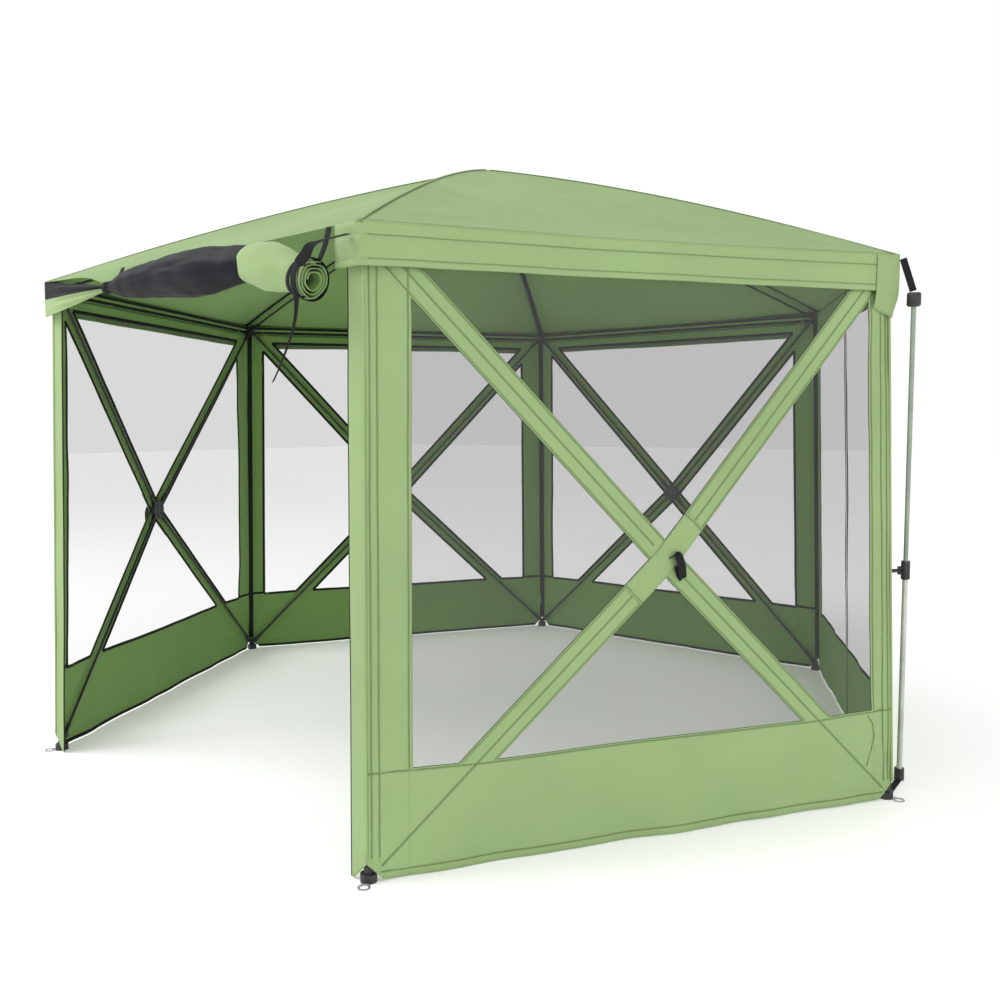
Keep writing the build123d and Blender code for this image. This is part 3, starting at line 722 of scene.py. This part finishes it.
door_tape = bmesh.new()
door_inside = on_wall(door_axes, lambda p: door_lift(p, False) - BINDING_IN)
for sign in (-1, 1):
    outline = [
        Vector((sign * ZIP_HALF * 1.6, HEM + SKIRT)),
        Vector((sign * (half_width(HEM + SKIRT) - LEFT_STRIP), HEM + SKIRT)),
        Vector((sign * (half_width(WALL_TOP - TOP_BAND) - LEFT_STRIP), WALL_TOP - TOP_BAND)),
        Vector((sign * ZIP_HALF * 1.6, WALL_TOP - TOP_BAND)),
    ]
    for start, end in zip(outline, outline[1:] + outline[:1]):
        tape_run(door_tape, start, end, door_inside, BINDING_W)
door_tape_piece = settle("binding_door", door_tape, (tape_finish,), 0.0009)
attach(door_tape_piece, "root")

# ---------------------------------------------------------------- zip
# A black coil zip closes the door wall from hem to eave: two woven tapes with
# a row of moulded teeth between them. The slider rides on the outside.
TOOTH_PITCH = 0.012
TOOTH_W = 0.007


def zip_strip():
    """Both tapes and the teeth between them, as one mesh laid on the door wall."""
    mesh = bmesh.new()
    place = on_wall(door_axes, lambda p: door_lift(p, False) + CLOTH_THICK)
    for sign in (-1, 1):
        middle = sign * (ZIP_HALF + 0.0035) / 2
        tape_run(mesh, Vector((middle, HEM)), Vector((middle, WALL_TOP)), place, ZIP_HALF - 0.001)
    count = int((WALL_TOP - HEM) / TOOTH_PITCH)
    for k in range(count):
        up = HEM + (k + 0.5) * TOOTH_PITCH
        centre = place(Vector((0, up))) + door_axes[3] * 0.0004
        block = bmesh.ops.create_cube(mesh, size=1.0)["verts"]
        shape = Matrix((door_axes[1], door_axes[2], door_axes[3])).transposed()
        for v in block:
            v.co = centre + shape @ Vector((v.co.x * TOOTH_W, v.co.y * TOOTH_PITCH * 0.62, v.co.z * 0.0016))
    return mesh


zip_piece = settle("zip_with_teeth", zip_strip(), (tape_finish,), smooth_faces=False)
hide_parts("door_zip_tape")
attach(zip_piece, "root")

# ---------------------------------------------------------------- doorway jambs and corner seams
# The open doorway keeps a narrow cloth jamb on each side. Every corner has a
# piped seam outside, and a black strip 26 mm wide in the tape's finish over the
# seam inside, from boot to eave.
JAMB = 0.060
PIPING_R = 0.0045
CORNER_STRIP_W = 0.026


def jamb_lift(p):
    crease = 0.0025 * noise.noise(Vector((p.x * 8.0, p.y * 3.0, 9.1)))
    return crease + valley(half_width(p.y) - abs(p.x), 0.02)


jamb_axes = wall_axes(BEARINGS["front"])
for side, sign in (("left", -1), ("right", 1)):
    def jamb_place(s, t, sign=sign):
        up = HEM + t * (WALL_TOP - HEM)
        return sign * (half_width(up) - JAMB * s), up

    jamb = grid(14, 120, jamb_place)
    notch_boots(jamb)
    hang(jamb, jamb_axes, lambda p: jamb_lift(p) + CLOTH_THICK)
    bmesh.ops.recalc_face_normals(jamb, faces=jamb.faces)
    if jamb.faces[:][0].normal.dot(jamb_axes[3]) < 0:
        bmesh.ops.reverse_faces(jamb, faces=jamb.faces)
    piece = settle(f"jamb_{side}", jamb, (cloth_outside, cloth_inside_painted_light), CLOTH_THICK)
    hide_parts("doorway_jambs")
    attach(piece, "root")
    jamb_tape = bmesh.new()
    tape_place = on_wall(jamb_axes, lambda p: jamb_lift(p) - BINDING_IN)
    low = Vector((sign * (half_width(HEM) - JAMB), HEM))
    high = Vector((sign * (half_width(WALL_TOP) - JAMB), WALL_TOP))
    tape_run(jamb_tape, low, high, tape_place, BINDING_W)
    piece = settle(f"jamb_tape_{side}", jamb_tape, (tape_finish,), 0.0009)
    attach(piece, "root")


def corner_line(bearing, share, inset=0.0):
    """A point up a corner's seam, from boot to eave, set in towards the middle of the room."""
    radius = FOOT_RADIUS + (SIDE - FOOT_RADIUS) * share - inset
    return Vector((radius * cos(radians(bearing)), radius * sin(radians(bearing)), EAVE * share))


def tube(mesh, path, radius, sides=8):
    """A round bead along a path of points."""
    rings = []
    for k, p in enumerate(path):
        ahead = path[min(k + 1, len(path) - 1)] - path[max(k - 1, 0)]
        turn = ahead.to_track_quat("Z", "Y").to_matrix()
        size = radius[k] if isinstance(radius, (list, tuple)) else radius
        turns = [2 * pi * s / sides for s in range(sides)]
        rings.append([mesh.verts.new(p + turn @ Vector((size * cos(a), size * sin(a), 0))) for a in turns])
    for one, two in zip(rings, rings[1:]):
        for s in range(sides):
            mesh.faces.new((one[s], one[(s + 1) % sides], two[(s + 1) % sides], two[s]))
    mesh.faces.new(rings[0][::-1])
    mesh.faces.new(rings[-1])


CORNERS_IN_ORDER = ("front_left", "front_right", "right", "back_right", "back_left", "left")
CORNER_BEARINGS = {corner: (240 + 60 * turn) % 360 for turn, corner in enumerate(CORNERS_IN_ORDER)}
piping = bmesh.new()
# Inside each corner: a black strip 26 mm wide over the seam, from boot to eave.
inner_black_strip = bmesh.new()
for bearing in CORNER_BEARINGS.values():
    shares = [0.035 + 0.94 * k / 40 for k in range(41)]
    tube(piping, [corner_line(bearing, s, -0.002) for s in shares], PIPING_R)
    tangent = Vector((-sin(radians(bearing)), cos(radians(bearing)), 0)) * CORNER_STRIP_W / 2
    rails = [[inner_black_strip.verts.new(corner_line(bearing, s, 0.012) + tangent * k) for k in (-1, 1)]
             for s in shares]
    for one, two in zip(rails, rails[1:]):
        inner_black_strip.faces.new((one[0], one[1], two[1], two[0]))
piece = settle("corner_piping", piping, (cloth_outside,))
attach(piece, "root")
piece = settle("corner_black_strip", inner_black_strip, (tape_finish,), 0.0012)
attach(piece, "root")

# ---------------------------------------------------------------- canopy
# One peaked sheet sewn from six gores of the same green cloth. Its top is drawn a
# darker green than the walls: painted shade. Each hip lies over a bent roof pole,
# and the cloth sags a little between the hips.
EAVE_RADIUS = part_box("canopy")[1].x
HIP_RISE = 0.035
GORE_SAG = 0.030
ROWS = 64
GORE_COLUMNS = 44
TIE_PULL = -0.40


def eave_bow(s):
    """Slight inward curve of the eave between two corners, s from 0 to 1."""
    return 0.012 * 4 * s * (1 - s)


def canopy_point(bearing, s, r):
    """A point on a gore: s across it from its left corner, r from the peak to the eave."""
    left = Vector((cos(radians(bearing - 30)), sin(radians(bearing - 30)), 0)) * EAVE_RADIUS
    right = Vector((cos(radians(bearing + 30)), sin(radians(bearing + 30)), 0)) * EAVE_RADIUS
    middle = Vector((cos(radians(bearing)), sin(radians(bearing)), 0))
    flat = left.lerp(right, s) * r - middle * eave_bow(s) * r**3
    between = 4 * s * (1 - s)
    hip = HIP_RISE * 4 * r * (1 - r)
    sag = GORE_SAG * between * (4 * r * (1 - r)) ** 0.8 + 0.006 * between * r
    z = PEAK - 0.004 - (PEAK - EAVE - 0.004) * r + hip - sag
    creases = 0.0
    for corner, turn in ((left, 1), (right, -1)):
        away = flat - corner
        far = away.length
        if 0.005 < far < 0.9:
            angle = away.xy.angle_signed(-corner.xy) * turn
            creases += 0.0080 * sin(angle * 13 + bearing) * smooth(far / 0.15) * exp(-far / 0.26)
    soft = 0.004 * noise.noise(Vector((flat.x * 2.4, flat.y * 2.4, 3.3))) * between
    if bearing == BEARINGS["front"]:
        z -= 0.050 * exp(-((flat.x - TIE_PULL) / 0.13) ** 2) * r**10
    return Vector((flat.x, flat.y, z + creases * (0.3 + 0.7 * between) + soft))


def sew_canopy():
    mesh = bmesh.new()
    peak = mesh.verts.new((0, 0, PEAK - 0.004))
    for bearing in BEARINGS.values():
        rows = []
        for j in range(1, ROWS + 1):
            line = [canopy_point(bearing, i / GORE_COLUMNS, j / ROWS) for i in range(GORE_COLUMNS + 1)]
            rows.append([mesh.verts.new(point) for point in line])
        for i in range(GORE_COLUMNS):
            mesh.faces.new((peak, rows[0][i], rows[0][i + 1]))
        for one, two in zip(rows, rows[1:]):
            for i in range(GORE_COLUMNS):
                mesh.faces.new((one[i], two[i], two[i + 1], one[i + 1]))
    bmesh.ops.remove_doubles(mesh, verts=mesh.verts, dist=0.0004)
    return mesh


def drawn_down(piece):
    """Bakes the piece's placement into its mesh."""
    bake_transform(piece)


canopy_piece = settle("canopy_sheet", sew_canopy(), (cloth_top_painted_shade, cloth_inside_painted_light), CLOTH_THICK)
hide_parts("canopy")
drawn_down(canopy_piece)

# Flat-felled seams down the six hips: a folded strip of the same cloth that
# stands proud of the gores, with black tape over the seam on the inside.
HIP_SEAM_W = 0.016


def hip_strip(width, rise, name, finishes, thick):
    mesh = bmesh.new()
    for bearing in BEARINGS.values():
        rails = []
        for k in range(1, ROWS + 1):
            r = k / ROWS
            p = canopy_point(bearing, 0, r)
            side = Vector((-sin(radians(bearing - 30)), cos(radians(bearing - 30)), 0)) * width / 2
            dip = Vector((0, 0, -width * 0.07))
            crest = p + Vector((0, 0, rise))
            rails.append([mesh.verts.new(crest + side * t + dip * abs(t)) for t in (-1, 0, 1)])
        for one, two in zip(rails, rails[1:]):
            for t in range(2):
                mesh.faces.new((one[t], two[t], two[t + 1], one[t + 1]))
    piece = settle(name, mesh, finishes, thick)
    drawn_down(piece)
    return piece


hip_strip(HIP_SEAM_W, 0.0016, "hip_seams", (cloth_top_painted_shade, cloth_top_painted_shade), 0.0012)
hip_strip(0.018, -0.0035, "hip_tapes", (tape_finish,), 0.0009)

# ---------------------------------------------------------------- valance
# A strip of green cloth hangs from the eave seam all round, except over the
# doorway, where it is rolled up with the door. Its hem is turned and stitched.
VALANCE_H = 0.120
VALANCE_STEP = 0.02
VALANCE_ROWS = (0.0, 0.010, 0.0345, 0.0365, 0.0385, 0.06, 0.08, 0.0985, 0.1005, 0.1025, 0.113, 0.120)
FRONT_RIGHT_END = 0.100 / EAVE_RADIUS
CAP_W = 0.085
CAP_H = 0.205


def valance_point(bearing, s, drop):
    top = canopy_point(bearing, s, 1.0)
    out = Vector((cos(radians(bearing)), sin(radians(bearing)), 0))
    along = s * EAVE_RADIUS + bearing
    wave = 0.010 * noise.noise(Vector((along * 3.6, drop * 2, 1.7)))
    wave += 0.005 * noise.noise(Vector((along * 11, drop * 5, 4.4)))
    flare = 0.002 + wave * smooth(drop / VALANCE_H)
    near = min(s, 1 - s) * EAVE_RADIUS
    gather = 0.003 * sin(near * 90) * exp(-near / 0.07)
    seam = valley(drop, 0.0365) + valley(drop, 0.1005)
    lower = 0.006 * 4 * s * (1 - s)
    hang_down = Vector((0, 0, drop - lower * drop / VALANCE_H))
    return top + out * (flare + gather * smooth(drop / 0.04) + seam) - hang_down


def valance_strip():
    mesh = bmesh.new()
    order = [("front", 1 - FRONT_RIGHT_END, 0.998), ("front_right", 0.004, 1), ("back_right", 0, 1),
             ("back", 0, 1), ("back_left", 0, 1), ("front_left", 0, 1)]
    columns = []
    for wall, start, end in order:
        count = max(3, round((end - start) * EAVE_RADIUS / VALANCE_STEP))
        for k in range(count + 1):
            s = start + (end - start) * k / count
            line = [valance_point(BEARINGS[wall], s, drop) for drop in VALANCE_ROWS]
            columns.append([mesh.verts.new(point) for point in line])
    for one, two in zip(columns, columns[1:]):
        for k in range(len(VALANCE_ROWS) - 1):
            mesh.faces.new((one[k], one[k + 1], two[k + 1], two[k]))
    bmesh.ops.remove_doubles(mesh, verts=mesh.verts, dist=0.0004)
    return mesh


def corner_caps():
    """Mitred caps over the valance's corners, longer than the valance and cut to a slant."""
    mesh = bmesh.new()
    for name in ("right", "back_right", "back_left", "left"):
        corner = CORNER_BEARINGS[name]
        columns = []
        for k in range(-8, 9):
            bearing = corner - 30 if k < 0 else corner + 30
            s = 1 - CAP_W / EAVE_RADIUS * -k / 8 if k < 0 else CAP_W / EAVE_RADIUS * k / 8
            out = Vector((cos(radians(bearing)), sin(radians(bearing)), 0)).lerp(
                Vector((cos(radians(corner)), sin(radians(corner)), 0)), 1 - min(1, abs(k) / 2))
            column = []
            for drop in range(13):
                share = drop / 12
                length = CAP_H - 0.030 * abs(k) / 8
                away = share * length
                p = valance_point(bearing, s, min(away, VALANCE_H))
                p.z = valance_point(bearing, s, 0).z - away
                tuck = 0.0035 - 0.020 * smooth((away - VALANCE_H) / 0.09)
                column.append(mesh.verts.new(p + out * tuck))
            columns.append(column)
        for one, two in zip(columns, columns[1:]):
            for drop in range(12):
                mesh.faces.new((one[drop], one[drop + 1], two[drop + 1], two[drop]))
    return mesh


valance_piece = settle("valance_strip", valance_strip(), (cloth_outside, cloth_inside_painted_light), CLOTH_THICK)
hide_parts("valance")
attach(valance_piece, "root")
piece = settle("corner_caps", corner_caps(), (cloth_outside, cloth_inside_painted_light), CLOTH_THICK)
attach(piece, "root")


def valance_threads_and_seam_shade():
    """The two stitched lines that run round the valance: the eave fold and the hem, drawn as dark strips
    that paint the seams' shade as well as the thread.
    """
    mesh = bmesh.new()
    for wall in ("front_right", "back_right", "back", "back_left", "front_left"):
        out = Vector((cos(radians(BEARINGS[wall])), sin(radians(BEARINGS[wall])), 0)) * 0.0008
        for drop in (0.0365, 0.1005):
            rails = []
            for k in range(91):
                s = 0.012 + 0.976 * k / 90
                edges = [valance_point(BEARINGS[wall], s, drop + half) for half in (-0.0014, 0.0014)]
                rails.append([mesh.verts.new(edge + out) for edge in edges])
            for one, two in zip(rails, rails[1:]):
                mesh.faces.new((one[0], one[1], two[1], two[0]))
    return mesh


piece = settle("valance_threads_and_seam_shade", valance_threads_and_seam_shade(), (thread_and_seam_shade_finish,), 0.0005)
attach(piece, "root")

# ---------------------------------------------------------------- rolled-up door
# The doorway's own panel, rolled up outside the eave: charcoal net that tapers
# to the left-hand tie, and at the right a hood of its green hem, turned back.
ROLL_AT = Vector((0, -1.600, 1.743))
ROLL_SHAPE = ((-0.335, 0.012), (-0.300, 0.018), (-0.190, 0.044), (-0.080, 0.055), (0.0, 0.061),
              (0.150, 0.073), (0.270, 0.076), (0.420, 0.060), (0.500, 0.052), (0.540, 0.045))
DROOP_START = 0.490
DROOP = radians(15.4)
HOOD_SHAPE = ((-0.020, 0.050), (0.020, 0.066), (0.080, 0.072), (0.140, 0.068), (0.210, 0.056),
              (0.250, 0.050), (0.290, 0.054))
CHARCOAL = (0.008, 0.009, 0.012)


def level_part(x, y, z):
    return ROLL_AT + Vector((x, y, z))


def drooping_part(x, y, z):
    along = DROOP_START + x * cos(DROOP) + z * sin(DROOP)
    return ROLL_AT + Vector((along, y, z * cos(DROOP) - x * sin(DROOP)))


def shape_radius(shape, x):
    """Radius of a bundle at a place along it, eased between the given ones."""
    for (x0, r0), (x1, r1) in zip(shape, shape[1:]):
        if x <= x1:
            share = (x - x0) / (x1 - x0)
            return r0 + (r1 - r0) * (smooth(share) + max(0, share)) / 2
    return shape[-1][1]


charcoal = coated_cloth("charcoal_net", CHARCOAL, 0.55, 0.0, 0.12)


def rolled_bundle():
    """The charcoal part: a lofted bundle with long folds and the step of its outer layer."""
    mesh = bmesh.new()
    rings = []
    around = 72
    length = 110
    for k in range(length + 1):
        x = ROLL_SHAPE[0][0] + (ROLL_SHAPE[-1][0] - ROLL_SHAPE[0][0]) * k / length
        radius = shape_radius(ROLL_SHAPE, x)
        ring = []
        for a in range(around):
            turn = 2 * pi * a / around
            folds = 0.034 * sin(2 * turn + x * 6) + 0.022 * sin(5 * turn - x * 9)
            folds += 0.012 * sin(11 * turn + x * 17)
            pinch = 0.10 * sin(9 * turn) * exp(-((x + 0.32) / 0.07) ** 2)
            step = 0.050 * ((turn - x * 0.9) / (2 * pi) % 1.0)
            size = radius * (0.945 + folds + pinch + step)
            size += 0.0022 * noise.noise(Vector((x * 14, cos(turn) * 2, sin(turn) * 2)))
            ring.append(mesh.verts.new(level_part(x, -cos(turn) * size * 0.96, sin(turn) * size)))
        rings.append(ring)
    for one, two in zip(rings, rings[1:]):
        for a in range(around):
            mesh.faces.new((one[a], two[a], two[(a + 1) % around], one[(a + 1) % around]))
    mesh.faces.new(rings[0])
    mesh.faces.new(rings[-1][::-1])
    bmesh.ops.recalc_face_normals(mesh, faces=mesh.faces)
    return mesh


roll_piece = settle("rolled_bundle", rolled_bundle(), (charcoal,))
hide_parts("rolled_door")
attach(roll_piece, "root")


def rolled_hem():
    """The green part: a real spiral of cloth, so that its turns show at the open end."""
    mesh = bmesh.new()
    turns = 3.3
    per_turn = 44
    start = HOOD_SHAPE[0][0]
    lengthwise = [start + (HOOD_SHAPE[-1][0] - start) * k / 30 for k in range(31)]
    strands = []
    steps = int(turns * per_turn)
    for k in range(steps + 1):
        turn = 2 * pi * k / per_turn
        layer = 0.40 + 0.60 * k / steps
        strand = []
        for x in lengthwise:
            lip = 0.018 * sin(turn * 1.0 + 0.8) * (1 - smooth((x - start) / 0.10))
            ruffle = 0.05 * sin(3 * turn + x * 22) + 0.035 * sin(5 * turn - x * 31)
            ruffle += 0.05 * noise.noise(Vector((x * 16, turn * 0.7, 5.5)))
            size = shape_radius(HOOD_SHAPE, x) * layer * (1 + ruffle * 0.7)
            strand.append(mesh.verts.new(drooping_part(x + lip, -cos(turn) * size, sin(turn) * size)))
        strands.append(strand)
    for one, two in zip(strands, strands[1:]):
        for k in range(len(lengthwise) - 1):
            mesh.faces.new((one[k], one[k + 1], two[k + 1], two[k]))
    return mesh


hem_piece = settle("rolled_hem", rolled_hem(), (cloth_outside, cloth_inside_painted_light), 0.0016)
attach(hem_piece, "root")

# ---------------------------------------------------------------- roll ties
# Black webbing loops hold the roll: one cinches its left end and one its right,
# each hung from the canopy's edge. The right one has a buckle and a loose tail.
TIE_W = 0.022
TIE_T = 0.0022


def flowing(points, per_run=10):
    """A smooth line through given points."""
    ends = [points[0] * 2 - points[1], *points, points[-1] * 2 - points[-2]]
    line = []
    for a, b, c, d in zip(ends, ends[1:], ends[2:], ends[3:]):
        for k in range(per_run):
            t = k / per_run
            square = 2 * a - 5 * b + 4 * c - d
            cube = 3 * b - a - 3 * c + d
            line.append(0.5 * (2 * b + (c - a) * t + square * t * t + cube * t**3))
    line.append(points[-1].copy())
    return line


def webbing(mesh, line, across, width, thick, closed=False):
    """Flat strap along a line: across gives its width's direction."""
    rings = []
    for k, p in enumerate(line):
        following = (k + 1) % len(line) if closed else min(k + 1, len(line) - 1)
        ahead = line[following] - line[k - 1 if closed or k else 0]
        wide = (across - ahead.normalized() * across.dot(ahead.normalized())).normalized()
        deep = ahead.normalized().cross(wide)
        profile = ((-0.5, -0.3), (-0.46, -0.5), (0.46, -0.5), (0.5, -0.3),
                   (0.5, 0.3), (0.46, 0.5), (-0.46, 0.5), (-0.5, 0.3))
        rings.append([mesh.verts.new(p + wide * u * width + deep * v * thick) for u, v in profile])
    pairs = list(zip(rings, rings[1:] + rings[:1])) if closed else list(zip(rings, rings[1:]))
    for one, two in pairs:
        for s in range(8):
            mesh.faces.new((one[s], one[(s + 1) % 8], two[(s + 1) % 8], two[s]))
    if not closed:
        mesh.faces.new(rings[0][::-1])
        mesh.faces.new(rings[-1])


def loop_round(mesh, part, x, radius, width, lean=0.0):
    ring = []
    for k in range(48):
        turn = 2 * pi * k / 48
        ring.append(part(x + lean * sin(turn) * radius, -cos(turn) * radius, sin(turn) * radius))
    webbing(mesh, ring, part(1, 0, 0) - part(0, 0, 0), width, TIE_T, closed=True)


ties = bmesh.new()
loop_round(ties, level_part, -0.318, 0.020, TIE_W)
loop_round(ties, drooping_part, 0.246, 0.055, 0.014, 0.14)
loop_round(ties, drooping_part, 0.272, 0.058, TIE_W, -0.10)
for low, reach in ((level_part(-0.318, 0.014, 0.014), TIE_W), (drooping_part(0.272, 0.022, 0.054), TIE_W)):
    high = Vector((low.x, 0.001 - EAVE_RADIUS * COS30, EAVE - 0.003))
    hanger = flowing([low, low.lerp(high, 0.5) + Vector((0, 0.003, -0.003)), high], 6)
    webbing(ties, hanger, Vector((1, 0, 0)), reach, TIE_T)
tail_top = drooping_part(0.276, -0.050, -0.030)
TAIL_FALL = ((0, 0, 0), (-0.008, 0.012, -0.035), (-0.085, 0.060, -0.095), (-0.200, 0.110, -0.175),
             (-0.300, 0.150, -0.235))
tail = flowing([tail_top + Vector(step) for step in TAIL_FALL])
webbing(ties, tail, Vector((0.5, 0.1, 0.6)), 0.014, TIE_T)
buckle = flowing([drooping_part(0.275, -0.048, 0.036), drooping_part(0.300, -0.052, 0.062),
                  drooping_part(0.325, -0.044, 0.100), Vector((0.858, -1.556, EAVE - 0.035))])
webbing(ties, buckle, Vector((1, 0.2, 0)), 0.030, TIE_T)
piece = settle("tie_webbing", ties, (tape_finish,))
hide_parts("rolled_door_ties")
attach(piece, "root")

# ---------------------------------------------------------------- gathered flap
# Left of the roll the door's top edge and the valance are drawn together from
# the doorway's corner to the tie: charcoal net above, green cloth below.
FLAP_ROWS = 16
FLAP_COLUMNS = 34


def gathered(low_share, high_share):
    """Part of the flap between two shares of its height, pleated more towards the tie."""
    mesh = bmesh.new()
    corner = Vector((-0.889, -1.5462, 0))
    tie = level_part(-0.332, 0, 0)
    points = []
    for i in range(FLAP_COLUMNS + 1):
        s = i / FLAP_COLUMNS
        row = []
        for j in range(FLAP_ROWS + 1):
            share = low_share + (high_share - low_share) * j / FLAP_ROWS
            tall = EAVE - VALANCE_H - 0.012 + (VALANCE_H + 0.008) * share
            narrow = (1 - s) ** 0.9
            z = tie.z + (tall - tie.z) * narrow + 0.012 * (share - 0.5) * (1 - narrow)
            flat = corner.lerp(tie, s)
            pleat = 0.006 * sin(share * 21) * smooth(s / 0.5) * (1 - 0.6 * s) - 0.010 * sin(pi * s) * share
            row.append(mesh.verts.new((flat.x, flat.y + pleat, z)))
        points.append(row)
    for one, two in zip(points, points[1:]):
        for j in range(FLAP_ROWS):
            mesh.faces.new((one[j], two[j], two[j + 1], one[j + 1]))
    return mesh


piece = settle("gathered_net", gathered(0.5, 1.0), (charcoal,), 0.0014)
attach(piece, "root")
piece = settle("gathered_valance", gathered(0.0, 0.51), (cloth_outside, cloth_inside_painted_light), 0.0014)
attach(piece, "root")

# ---------------------------------------------------------------- hubs, poles and brackets
# Black fibreglass rods with moulded ends run from nylon corner brackets to
# nylon hubs, on bright steel pins. These pieces keep their own shapes.


def moulded_nylon(name, colour, rough=0.5):
    """Injection-moulded nylon: a faint spark-eroded grain and scuffed patches."""
    finish, tree, shader = new_finish(name)
    tone = ramp(tree, blotches(tree, 30.0), shade(colour, 0.8), shade(colour, 1.5))
    tree.links.new(tone, shader.inputs["Base Color"])
    gloss = ramp(tree, blotches(tree, 45.0), (rough - 0.1,) * 3, (rough + 0.12,) * 3)
    tree.links.new(gloss, shader.inputs["Roughness"])
    relief(tree, shader, [(blotches(tree, 900.0, 2.0), 0.25, 0.0003)])
    return finish


def drawn_rod(name, colour, rough, metallic=0.0):
    """A drawn or pultruded rod: fine streaks along it and handling marks."""
    finish, tree, shader = new_finish(name)
    tone = ramp(tree, blotches(tree, 12.0), shade(colour, 0.85), shade(colour, 1.15))
    tree.links.new(tone, shader.inputs["Base Color"])
    gloss = ramp(tree, blotches(tree, 70.0), (rough - 0.08,) * 3, (rough + 0.1,) * 3)
    tree.links.new(gloss, shader.inputs["Roughness"])
    shader.inputs["Metallic"].default_value = metallic
    relief(tree, shader, [(blotches(tree, 300.0), 0.15, 0.0002)])
    return finish


def wear(names, finish):
    for name in names:
        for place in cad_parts[name].material_slots:
            place.material = finish


nylon = moulded_nylon("black_nylon", (0.020, 0.020, 0.022))
every_node = list(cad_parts)
rods = [n for n in every_node if n.startswith(("pole_", "roof_pole_"))]
wall_hubs = [n for n in every_node if n.startswith("hub_")]
wear(rods, drawn_rod("black_fibreglass", (0.018, 0.019, 0.021), 0.38))
wear(wall_hubs + ["roof_hub", "corner_brackets", "corner_boots"], nylon)
wear(["corner_pins"], drawn_rod("bright_steel", (0.60, 0.60, 0.60), 0.28, 1.0))

# ---------------------------------------------------------------- hub pull tabs
# A short black webbing loop is sewn to each wall hub and comes out through the
# cloth: it is what the wall is popped out by. It hangs folded over itself.


def pull_tab(wall):
    _, right, up, out = wall_axes(BEARINGS[wall])
    low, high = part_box(f"hub_{wall}")
    centre = (low + high) / 2 + right * 0.018

    def at(x, y, z):
        return centre + right * x + up * y + out * z

    mesh = bmesh.new()
    loop = flowing([at(0.0, 0.004, 0.014), at(0.004, 0.010, 0.024), at(0.012, 0.012, 0.032),
                    at(0.020, -0.012, 0.037), at(0.027, -0.045, 0.033), at(0.030, -0.058, 0.028),
                    at(0.024, -0.048, 0.024), at(0.016, -0.020, 0.0235)])
    webbing(mesh, loop, right * 0.9 + up * 0.42, 0.026, 0.0022)
    second = flowing([at(0.010, 0.020, 0.0235), at(0.022, 0.006, 0.027), at(0.030, -0.02, 0.026),
                      at(0.034, -0.032, 0.0235)])
    webbing(mesh, second, right * 0.6 - up * 0.5, 0.020, 0.0022)
    return settle(f"pull_loop_{wall}", mesh, (tape_finish,))


for wall in FRAMED:
    piece = pull_tab(wall)
    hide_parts(f"pull_tab_{wall}")
    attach(piece, f"hub_{wall}_body")

# ---------------------------------------------------------------- peg rings
# Zinc-plated rings lie beside the boots for the ground pegs, on webbing tabs.
wear(["peg_rings"], drawn_rod("zinc_plate", (0.42, 0.42, 0.43), 0.35, 0.9))
wear(["door_zip_slider"], drawn_rod("black_zinc", (0.03, 0.03, 0.03), 0.35, 0.6))

# ---------------------------------------------------------------- propping pole
# A telescopic steel pole outside the right-hand corner: a silver lower tube, a
# grey-green upper tube, a cam clamp between them, a nylon foot and a nylon head.
wear(["prop_sleeve"], drawn_rod("silver_paint", (0.50, 0.52, 0.50), 0.32, 0.5))
wear(["prop_tube"], drawn_rod("grey_green_paint", (0.27, 0.32, 0.26), 0.38, 0.3))
wear(["prop_clamp", "prop_lever", "prop_foot", "prop_head"], nylon)
wear(["prop_head_strap", "prop_foot_strap"], tape_finish)

flat_wall.free()
flat_cloth.free()
flat_mesh.free()
flat_door.free()
